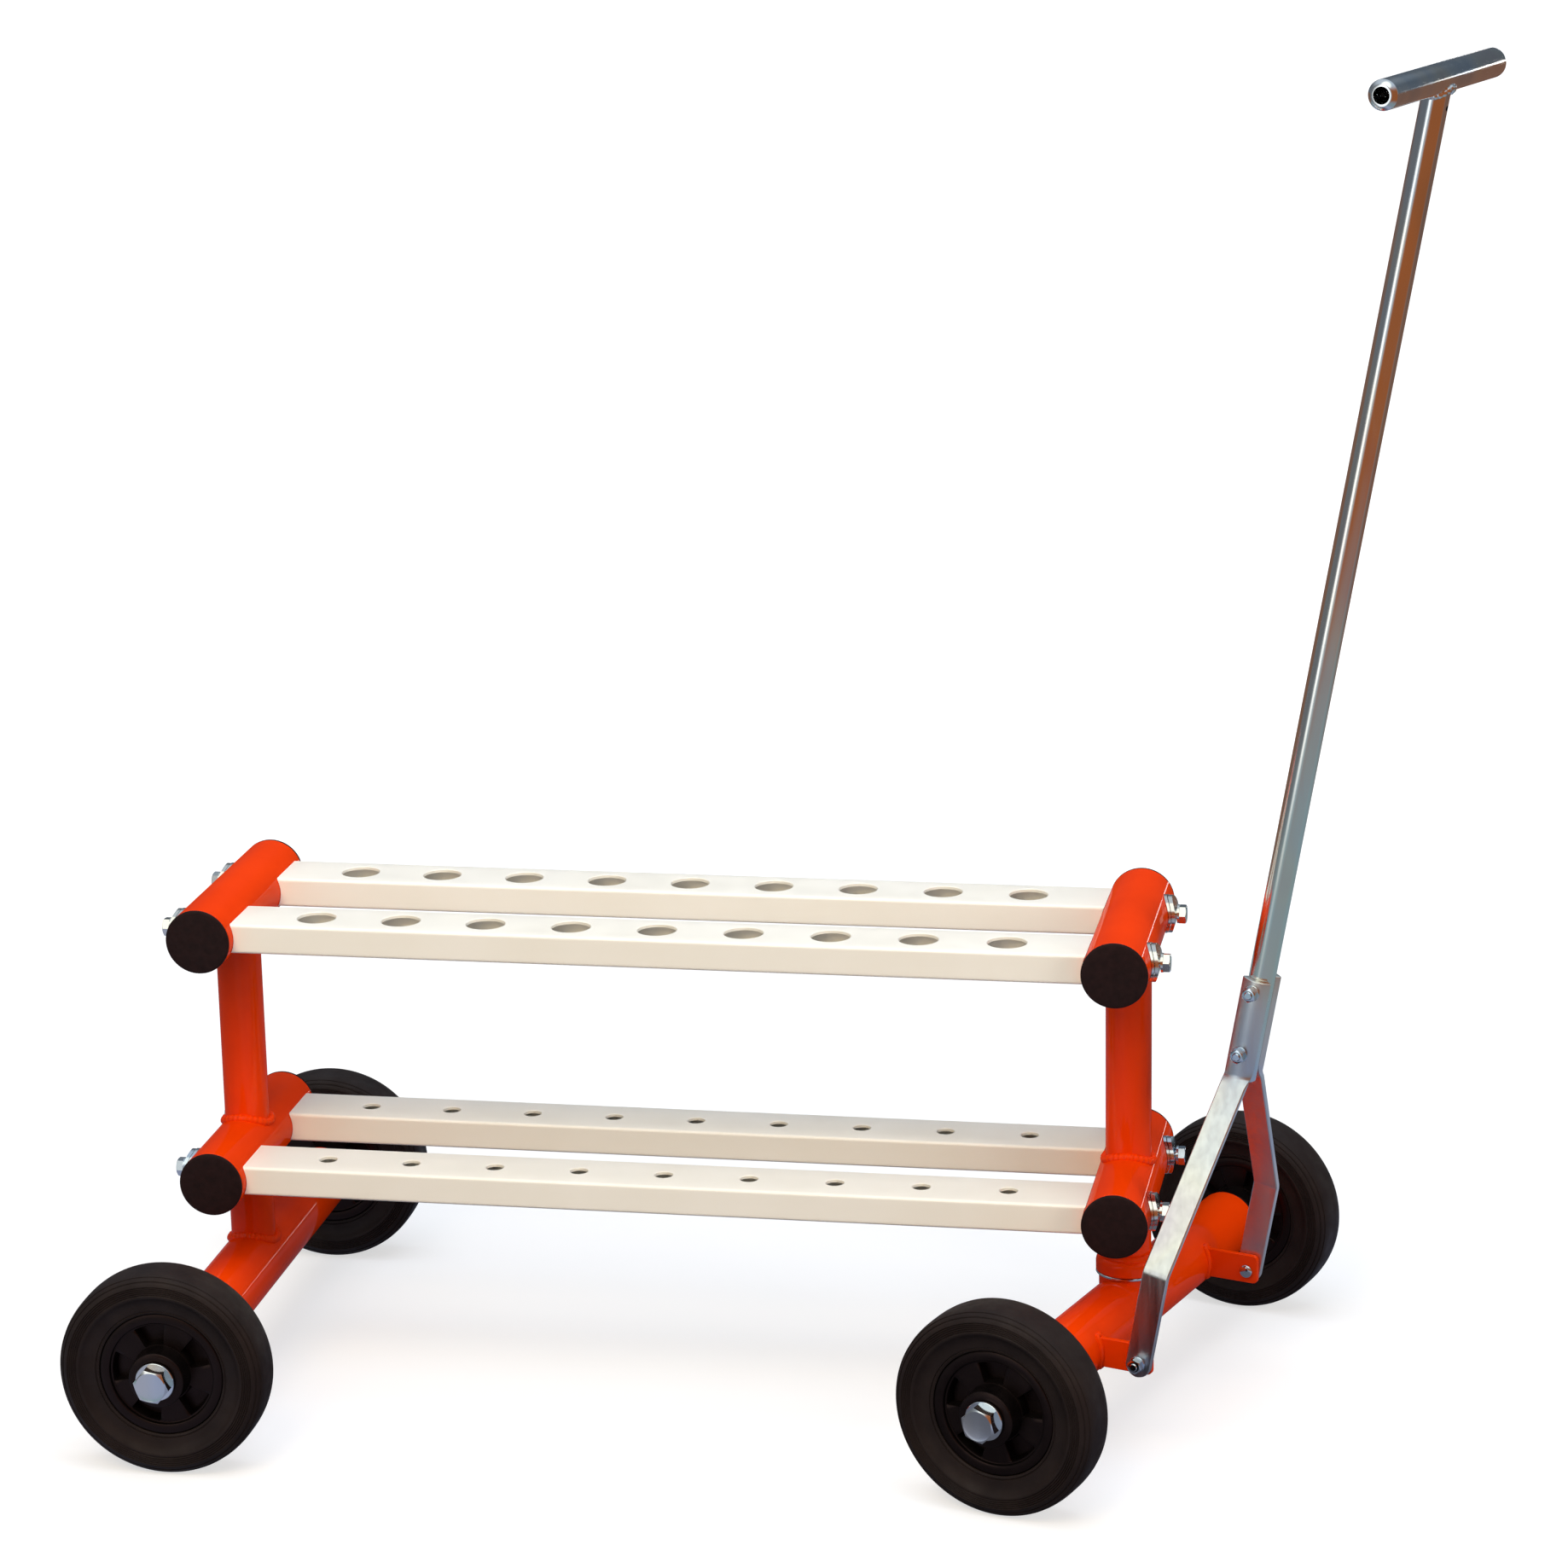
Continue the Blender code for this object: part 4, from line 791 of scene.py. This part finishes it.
half_tyre = tyre_profile()
whole_tyre = half_tyre + [(radius, -height) for radius, height in reversed(half_tyre)]
for end, base in zip(ENDS, (CHASSIS, STEERING)):
    for side, sign in SIDES.items():
        station = f"{end}_{side}"
        place = base @ shift(0, sign * WHEEL_Y, AXLE_Z) @ turn(-90 * sign, "X")
        rolled = place @ turn(WHEEL_PHASES[station], "Z")
        tyre, rim, bush, bolt = Shell(), Shell(), Shell(), Shell()
        lathe(tyre, whole_tyre, rolled, 144, True)
        piece(f"tyre_tread_{station}", tyre, "tyre_rubber", f"tyre_{station}",
              TYRE_SMOOTH_DEGREES)
        rim_mesh(rim, rolled)
        piece(f"rim_moulding_{station}", rim, "black_rim", f"rim_{station}", RIM_SMOOTH_DEGREES)
        washer(bush, BUSH_BORE, BUSH_RADIUS, PLUG_FACE + SEAT, BUSH_END, place, 48)
        piece(f"bush_{station}", bush, "sleeve_steel", f"wheel_sleeve_{station}")
        foot = BUSH_END + SEAT
        under_head = foot + WHEEL_WASHER_THICK
        washer(bolt, WHEEL_WASHER_BORE, WHEEL_WASHER_RADIUS, foot, under_head, place, 72, 0.0004)
        hex_head(bolt, WHEEL_BOLT_FLATS, under_head, under_head + WHEEL_HEAD_HIGH,
                 place @ turn(WHEEL_BOLT_TURN[station], "Z"), 0.94, 0.0004)
        tube(bolt, WHEEL_BOLT_RADIUS, PLUG_FACE - 0.028, foot + 0.004, place, 40, 0.0004)
        piece(f"wheel_screw_{station}", bolt, "bright_zinc", f"wheel_bolt_{station}")


# Drawbar legs

LEG_WIDE = LUG_IN + LUG_THICK + SEAT
LEG_NARROW = 0.010 + SEAT
LEG_THICK = 0.005
LEG_LOW, LEG_HIGH, LEG_TOP, LEG_TAIL = 0.073, 0.2035, 0.283, 0.011
LEG_HALF = 0.010  # half the bar's width
LEG_SOFT = 0.0007  # its edge radius
LEG_LIP = 0.0008  # rounding of its top end
LEG_COLUMNS = 16  # faces across the bar
TAIL_STEPS, BEND_STEPS = 12, 24
SHOULDER = 0.0085  # the bar turns into the clasp this far below and above LEG_HIGH
CLASP_HALF = math.radians(50.0)


def leg_section(half, soft, wrap, inset):
    """(reach, outward) loop, from flat bar (wrap 0) to a shell round the handle (wrap 1)."""
    low, high = inset, LEG_THICK - inset
    flat = half - soft
    across = [flat * (2 * k / LEG_COLUMNS - 1) for k in range(LEG_COLUMNS + 1)]
    loop = [(reach, high) for reach in across] + [(half, high - soft), (half, low + soft)]
    loop += [(-reach, low) for reach in across] + [(-half, low + soft), (-half, high - soft)]
    section = []
    for reach, depth in loop:
        angle = reach / LEG_HALF * CLASP_HALF
        out, along = on_circle(LEG_NARROW + depth, angle)
        out -= LEG_NARROW
        section.append((reach + (along - reach) * wrap, depth + (out - depth) * wrap))
    return section


def leg_stations():
    """(across, up, half width, edge radius, wrap, inset) from the round tail to the clasp's top."""
    line = rounded([(LEG_WIDE, -LEG_TAIL, 0), (LEG_WIDE, LEG_LOW, 0.005),
                    (LEG_NARROW, LEG_HIGH, 0.010), (LEG_NARROW, LEG_TOP, 0)], 8, closed=False)
    bend_low = LEG_HIGH - SHOULDER
    stations = []
    for k in range(TAIL_STEPS):
        drop = LEG_HALF * (1 - math.cos(math.pi / 2 * (k + 0.12) / TAIL_STEPS))
        half = math.sqrt(LEG_HALF ** 2 - (LEG_HALF - drop) ** 2)
        soft = min(LEG_SOFT, half * 0.9)
        stations.append((LEG_WIDE, -LEG_TAIL + drop, half, soft, 0.0, 0.0))
    slant = [point for point in line[1:-1] if point[1] < bend_low]
    stations += [(x, y, LEG_HALF, LEG_SOFT, 0.0, 0.0) for x, y in slant]
    bend = [point for point in line[1:-1] if point[1] >= bend_low]
    start, foot = slant[-1], bend[0]
    steep = (foot[0] - start[0]) / (foot[1] - start[1])
    for k in range(1, BEND_STEPS):
        share = k / BEND_STEPS
        up = bend_low + 2 * SHOULDER * share
        if up < foot[1]:
            across = start[0] + steep * (up - start[1])
        else:
            below = [point for point in bend if point[1] <= up][-1]
            above = ([point for point in bend if point[1] > up] + [(LEG_NARROW, LEG_TOP)])[0]
            part = (up - below[1]) / (above[1] - below[1])
            across = below[0] + (above[0] - below[0]) * part
        stations.append((across, up, LEG_HALF, LEG_SOFT, share * share * (3 - 2 * share), 0.0))
    stations += [(LEG_NARROW, up, LEG_HALF, LEG_SOFT, 1.0, 0.0)
                 for up in (LEG_HIGH + SHOULDER, 0.230, 0.260)]
    for k in range(5):
        angle = math.pi / 2 * k / 4
        inset = LEG_LIP * (1 - math.cos(angle))
        stations.append((LEG_NARROW, LEG_TOP - LEG_LIP * (1 - math.sin(angle)),
                         LEG_HALF - inset, LEG_SOFT, 1.0, inset))
    return stations


def leg_mesh(shell, place):
    """Leg lofted through its stations."""
    stations = leg_stations()
    verts, faces = [], []
    for index, (across, up, half, soft, wrap, inset) in enumerate(stations):
        before = Vector(stations[max(index - 1, 0)][:2])
        after = Vector(stations[min(index + 1, len(stations) - 1)][:2])
        ahead = (after - before).normalized()
        out = Vector((ahead.y, -ahead.x))
        for reach, depth in leg_section(half, soft, wrap, inset):
            verts.append((reach, across + out.x * depth, up + out.y * depth))
    around = len(verts) // len(stations)
    for index in range(len(stations) - 1):
        faces += band(index * around, (index + 1) * around, around)
    far = 2 * LEG_COLUMNS + 3  # the point behind a section's first
    lid = [[k, k + 1, far - 1 - k, far - k] for k in range(LEG_COLUMNS)]
    lid += [[LEG_COLUMNS + c for c in range(4)], [0, far + 2, far + 1, far]]
    for base in (0, around * (len(stations) - 1)):
        faces += [[base + index for index in face] for face in lid]
    shell.add(verts, faces, place)


for side, sign in SIDES.items():
    leg = Shell()
    leg_mesh(leg, DRAWBAR @ Matrix.Diagonal((1, sign, 1, 1)))
    piece(f"leg_bar_{side}", leg, "zinc_bar", f"drawbar_leg_{side}")


# Handle and its bolts

GRIP_AT = 0.962
HALF_GRIP = 0.1104
GRIP_RADIUS = 0.0108
HANDLE_RADIUS, HANDLE_BORE = 0.010, 0.008
HANDLE_FOOT, HANDLE_TOP = 0.200, GRIP_AT - 0.004
VENT_AT, VENT_RADIUS, VENT_FROM, VENT_TO = 0.943, 0.002, 0.003, 0.0145
GRIP_END = [(0.0074, 0), (0.0079, 0.0002), (0.0104, 0.0026), (0.0107, 0.0031),
            (GRIP_RADIUS, 0.0038)]  # radius, and how far in from the end

handle = Shell()
lathe(handle, [(HANDLE_BORE, HANDLE_FOOT), (0.0095, HANDLE_FOOT),
               (HANDLE_RADIUS, HANDLE_FOOT + 0.0005), (HANDLE_RADIUS, HANDLE_TOP),
               (HANDLE_BORE, HANDLE_TOP)], DRAWBAR, 72, True)
grip = [(0.006, -HALF_GRIP)] + [(radius, far_in - HALF_GRIP) for radius, far_in in GRIP_END]
grip += [(radius, -height) for radius, height in reversed(grip)]
lathe(handle, grip, DRAWBAR @ shift(0, 0, GRIP_AT) @ ALONG_Y, 72, True)
junction(handle, HANDLE_RADIUS, GRIP_RADIUS, GRIP_AT, -1, DRAWBAR, 0.0026, 22)
tubes = piece("handle_tubes", handle, "bright_zinc", "handle")
vent = Shell()
tube(vent, VENT_RADIUS, VENT_FROM, VENT_TO, DRAWBAR @ shift(0, 0, VENT_AT) @ turn(90, "Y"),
     24, 0)
cut(tubes, vent)
shade(tubes.data)

SMALL_BOLT = 0.003
DOME_RADIUS, DOME_WALL, DOME_RISE = 0.0053, 0.0013, 0.0020
NUT_FLATS, NUT_HIGH, NUT_BORE = 0.010, 0.006, 0.0033
NUT_WASHER_BORE, NUT_WASHER_RADIUS, NUT_WASHER_THICK = 0.0034, 0.006, 0.0016
BOLT_PAST_FOOT = 0.0086  # from the washer's seat to the bolt's tip
CLAMPS = {"lower": (0.224, 14), "upper": (0.274, 2)}  # place up the drawbar, nut's turn
CLAMP_SEAT = LEG_NARROW + LEG_THICK
PIVOT_NUT_TURN = 10


def bolt_and_nut(bolt_name, nut_name, place, head, foot, degrees):
    """Domed bolt along Z with its dome below head, and its washer and nut from foot on."""
    slot = "bright_zinc"
    bolt = Shell()
    dome = [(DOME_RADIUS * math.sin(math.radians(a)),
             head - DOME_WALL - DOME_RISE * math.cos(math.radians(a)))
            for a in (0, 12, 24, 36, 48, 60, 70, 80, 90)]
    tip = foot + BOLT_PAST_FOOT
    lathe(bolt, dome + [(DOME_RADIUS, head), (SMALL_BOLT, head), (SMALL_BOLT, tip - 0.0006),
                        (SMALL_BOLT - 0.0006, tip), (0, tip)], place, 48)
    piece(bolt_name.replace("bolt", "screw"), bolt, slot, bolt_name)
    nut = Shell()
    washer(nut, NUT_WASHER_BORE, NUT_WASHER_RADIUS, foot, foot + NUT_WASHER_THICK, place, 48)
    hex_head(nut, NUT_FLATS, foot + NUT_WASHER_THICK, foot + NUT_WASHER_THICK + NUT_HIGH,
             place @ turn(degrees, "Z"), 0.92, bore=NUT_BORE)
    piece(nut_name.replace("nut", "hexnut"), nut, slot, nut_name)


for name, (up, degrees) in CLAMPS.items():
    bolt_and_nut(f"clamp_bolt_{name}", f"clamp_nut_{name}",
                 DRAWBAR @ shift(0, 0, up) @ turn(90, "X"),
                 -CLAMP_SEAT - SEAT, CLAMP_SEAT + SEAT, degrees)
for side, sign in SIDES.items():
    bolt_and_nut(f"pivot_bolt_{side}", f"pivot_nut_{side}",
                 STEERING @ shift(PIVOT_REACH, 0, AXLE_Z) @ turn(-90 * sign, "X"),
                 LUG_IN - SEAT, LEG_WIDE + LEG_THICK + SEAT, PIVOT_NUT_TURN)


# Stage: the lamps light the object and stay out of its gloss, which sees the room below, where
# painted highlights stand in for the lamps

LAMP_AIM = Vector((0, 0, 0.35))
LAMPS = (  # name, place, size, watts, colour
    ("top_softbox", (0.1, -0.7, 3.2), 3.0, 76, (0.87, 0.98, 1.10)),
    ("key_softbox", (-0.8, -2.8, 3.0), 1.8, 67, (1.0, 0.77, 0.42)),
    ("front_softbox", (-0.4, -3.9, 1.8), 1.6, 14, (1.0, 0.70, 0.35)),
    ("right_softbox", (3.0, -1.2, 1.4), 1.2, 34, (1.0, 0.90, 0.78)))

WHITE = (1, 1, 1, 1)
WALLS = (0.50, 0.54, 0.58, 1)
WALL_PATCHES_AND_HIGHLIGHT = (  # compass degrees from the near side, cosines where it starts and is full; the brightest is a painted highlight strip
    (48, 0.36, 0.60, (0.34, 0.105, 0.035)),
    (130, 0.70, 0.92, (0.26, 0.25, 0.25)),
    (-95, 0.50, 0.80, (0.15, 0.16, 0.18)),
    # painted highlight: a narrow strip brighter than white, seen only in gloss
    (-34, 0.984, 0.996, (1.5, 1.5, 1.5)),
    (180, 0.35, 0.80, (0.10, 0.12, 0.145)))

FLOOR_HALF = 40
FLOOR_DROP = 0.0002
FLOOR_LIT = (0.24, 0.25, 0.30, 1)  # what the floor throws back at the object
FLOOR_SEEN = (0.46, 0.46, 0.47, 1)  # what the camera sees of it, under the glow
GLOW = (0.5, 2.6, 0.62, 1.0)  # from and to distance, from and to strength
ROOM_MIDDLE = (0.40, 0.0, 0.0)
FAR_FLOOR = ((0.1, 1.0, 0), 0.1, 0.8, (0.20, 0.11, 0.08))
FLOOR_TINTS_AND_SHADE = (  # distances where the tint starts and is full, its share, its colour; the last ring is painted shade under the cart
    (2.2, 1.2, 0.85, (0.25, 0.36, 0.41)),
    (0.95, 0.70, 0.85, (0.38, 0.40, 0.56)),
    # painted shade: the floor under and round the cart goes dark where gloss sees it
    (0.62, 0.35, 0.80, (0.06, 0.06, 0.07)))

SKY, SKY_STRENGTH = (0.52, 0.55, 0.62, 1), 0.48
SKYLINE_HEIGHTS = (0.016, 0.004)  # painted highlight: a thin bright line at the room's far corner, seen only in gloss
SKYLINE_FACING = ((0.32, 0.95, 0), 0.90, 0.97)
PAINTED_SKYLINE_HIGHLIGHT = (9.0, 9.0, 9.0)
CEILING_HEIGHTS, CEILING = (0.32, 0.85), (0.58, 0.65, 0.74)
# painted highlight: a bright softbox patch that only gloss sees, in place of the lamps hidden from
# gloss
SOFTBOX_FACING, PAINTED_SOFTBOX_HIGHLIGHT = ((-0.1, -0.56, 0.83), 0.86, 0.94), (1.40, 1.41, 1.30)

for name, spot, size, watts, colour in LAMPS:
    light = bpy.data.lights.new(name, "AREA")
    light.size = size
    light.energy = watts
    light.color = colour
    lamp = bpy.data.objects.new(name, light)
    lamp.location = spot
    lamp.rotation_euler = (LAMP_AIM - Vector(spot)).to_track_quat("-Z", "Y").to_euler()
    lamp.visible_glossy = False
    bpy.context.scene.collection.objects.link(lamp)


class Surround:
    """Nodes that tell the rays apart: what lights the object, what its gloss and the camera see."""

    def __init__(self, tree):
        self.tree = tree
        rays = self.node("ShaderNodeLightPath")
        either = self.node("ShaderNodeMath", operation="MAXIMUM")
        self.link(rays.outputs["Is Glossy Ray"], either.inputs[0])
        self.link(rays.outputs["Is Transmission Ray"], either.inputs[1])
        self.camera = rays.outputs["Is Camera Ray"]
        self.gloss = either.outputs[0]

    def node(self, kind, **settings):
        made = self.tree.nodes.new(kind)
        for name, value in settings.items():
            setattr(made, name, value)
        return made

    def link(self, source, target):
        self.tree.links.new(source, target)

    def pick(self, chooser, otherwise, chosen):
        made = self.node("ShaderNodeMixShader")
        self.link(chooser, made.inputs["Fac"])
        self.link(otherwise, made.inputs[1])
        self.link(chosen, made.inputs[2])
        return made.outputs["Shader"]

    def join(self, lighting, room, seen, emitter, target):
        """Joins what lights the object, what its gloss sees and what the camera sees."""
        mirrored = self.node(emitter)
        self.link(room, mirrored.inputs["Color"])
        self.link(self.pick(self.camera, self.pick(self.gloss, lighting, mirrored.outputs[0]),
                            seen), target)

    def spread(self, value, low, high, new_low=0, new_high=1):
        made = fill(self.node("ShaderNodeMapRange", interpolation_type="SMOOTHSTEP"), {
            "From Min": low, "From Max": high, "To Min": new_low, "To Max": new_high})
        self.link(value, made.inputs["Value"])
        return made.outputs["Result"]

    def vector(self, operation, place, other=None):
        made = self.node("ShaderNodeVectorMath", operation=operation)
        self.link(place, made.inputs[0])
        if other is not None:
            made.inputs[1].default_value = other
        return made.outputs["Value" if operation in ("LENGTH", "DOT_PRODUCT") else "Vector"]

    def facing(self, place, direction, low, high):
        """0 to 1 as a direction comes near the one given."""
        heading = Vector(direction).normalized()
        return self.spread(self.vector("DOT_PRODUCT", place, heading), low, high)

    def tinted(self, amount, under, colour):
        made = self.node("ShaderNodeMix", data_type="RGBA")
        self.link(amount, made.inputs["Factor"])
        self.link(under, made.inputs[6])
        made.inputs[7].default_value = (*colour, 1)
        return made.outputs[2]

    def room(self, place):
        """The studio round about as gloss sees it, by compass direction, with a painted highlight
        strip among its walls.
        """
        compass = self.vector("NORMALIZE", self.vector("MULTIPLY", place, (1, 1, 0)))
        walls = self.node("ShaderNodeRGB").outputs[0]
        walls.default_value = WALLS
        for degrees, low, high, colour in WALL_PATCHES_AND_HIGHLIGHT:
            angle = math.radians(degrees)
            heading = (math.sin(angle), -math.cos(angle), 0)
            walls = self.tinted(self.facing(compass, heading, low, high), walls, colour)
        return walls


def floor_material():
    """White to the camera, a pale matt bounce to the object, the room's floor to its gloss, with
    painted shade under the cart.
    """
    ground = bpy.data.materials.new("floor_white")
    ground.use_nodes = True
    tree = ground.node_tree
    rays = Surround(tree)
    lighting = fill(tree.nodes["Principled BSDF"], {
        "Base Color": FLOOR_LIT, "Roughness": 0.9, "Specular IOR Level": 0.0})
    place = rays.node("ShaderNodeTexCoord").outputs["Object"]
    distance = rays.vector("LENGTH", place)
    pale = fill(rays.node("ShaderNodeBsdfDiffuse"), {"Color": FLOOR_SEEN})
    glow = fill(rays.node("ShaderNodeEmission"), {"Color": WHITE})
    rays.link(rays.spread(distance, *GLOW), glow.inputs["Strength"])
    seen = rays.node("ShaderNodeAddShader")
    rays.link(pale.outputs["BSDF"], seen.inputs[0])
    rays.link(glow.outputs["Emission"], seen.inputs[1])
    around = rays.vector("SUBTRACT", place, ROOM_MIDDLE)
    direction, low, high, colour = FAR_FLOOR
    room = rays.tinted(rays.facing(around, direction, low, high), rays.room(around), colour)
    # the nearest ring is painted shade: the floor that gloss sees darkens under the cart
    for start, full, share, colour in FLOOR_TINTS_AND_SHADE:
        room = rays.tinted(rays.spread(distance, start, full, 0, share), room, colour)
    rays.join(lighting.outputs["BSDF"], room, seen.outputs["Shader"], "ShaderNodeEmission",
              tree.nodes["Material Output"].inputs["Surface"])
    return ground


def studio_world():
    """Soft sky light on the object, the room with its painted highlights to its gloss, white to the
    camera.
    """
    world = bpy.data.worlds.new("studio")
    world.use_nodes = True
    tree = world.node_tree
    rays = Surround(tree)
    look = rays.node("ShaderNodeTexCoord").outputs["Generated"]
    split = rays.node("ShaderNodeSeparateXYZ")
    rays.link(look, split.inputs["Vector"])
    height = split.outputs["Z"]
    sky = fill(tree.nodes["Background"], {"Color": SKY, "Strength": SKY_STRENGTH})
    white = fill(rays.node("ShaderNodeBackground"), {"Color": WHITE})
    off = rays.node("ShaderNodeMath", operation="ABSOLUTE")
    rays.link(height, off.inputs[0])
    # painted highlight line, seen only in gloss
    line = rays.node("ShaderNodeMath", operation="MULTIPLY")
    rays.link(rays.spread(off.outputs[0], *SKYLINE_HEIGHTS), line.inputs[0])
    rays.link(rays.facing(look, *SKYLINE_FACING), line.inputs[1])
    room = rays.tinted(line.outputs[0], rays.room(look), PAINTED_SKYLINE_HIGHLIGHT)
    room = rays.tinted(rays.spread(height, *CEILING_HEIGHTS), room, CEILING)
    # painted highlight of a softbox, seen only in gloss
    room = rays.tinted(rays.facing(look, *SOFTBOX_FACING), room, PAINTED_SOFTBOX_HIGHLIGHT)
    rays.join(sky.outputs["Background"], room, white.outputs["Background"],
              "ShaderNodeBackground", tree.nodes["World Output"].inputs["Surface"])
    return world


floor_mesh = bpy.data.meshes.new("floor")
work = bmesh.new()
bmesh.ops.create_grid(work, x_segments=1, y_segments=1, size=FLOOR_HALF)
work.to_mesh(floor_mesh)
work.free()
floor_mesh.materials.append(floor_material())
floor = bpy.data.objects.new("floor", floor_mesh)
floor.location.z = min(0.0, cad_box[0][2]) - FLOOR_DROP
bpy.context.scene.collection.objects.link(floor)

bpy.context.scene.world = studio_world()
bpy.context.scene.view_settings.view_transform = "Standard"


# Camera, at the photograph's viewing angle

AZIMUTH, ELEVATION, ROLL = (math.radians(v) for v in (10.709, 15.187, -1.144))
CAMERA_PLACE = Vector((REAR_X + 1.04154, -3.19188, 1.36790))
PHOTO_WIDTH, FOCAL_PIXELS = 1838, 5206.76
SENSOR = 36.0
data = bpy.data.cameras.new("photo_camera")
data.sensor_width = SENSOR
data.sensor_fit = "HORIZONTAL"
data.lens = FOCAL_PIXELS / PHOTO_WIDTH * SENSOR
data.clip_start = 0.05
camera = bpy.data.objects.new("photo_camera", data)
ahead = Vector((-math.sin(AZIMUTH) * math.cos(ELEVATION), math.cos(AZIMUTH) * math.cos(ELEVATION),
                -math.sin(ELEVATION)))
right = ahead.cross(Vector((0, 0, 1))).normalized()
up = right.cross(ahead)
right, up = (math.cos(ROLL) * right + math.sin(ROLL) * up,
             math.cos(ROLL) * up - math.sin(ROLL) * right)
place = Matrix((right, up, -ahead)).transposed().to_4x4()
place.translation = CAMERA_PLACE
camera.matrix_world = place
bpy.context.scene.collection.objects.link(camera)
bpy.context.scene.camera = camera
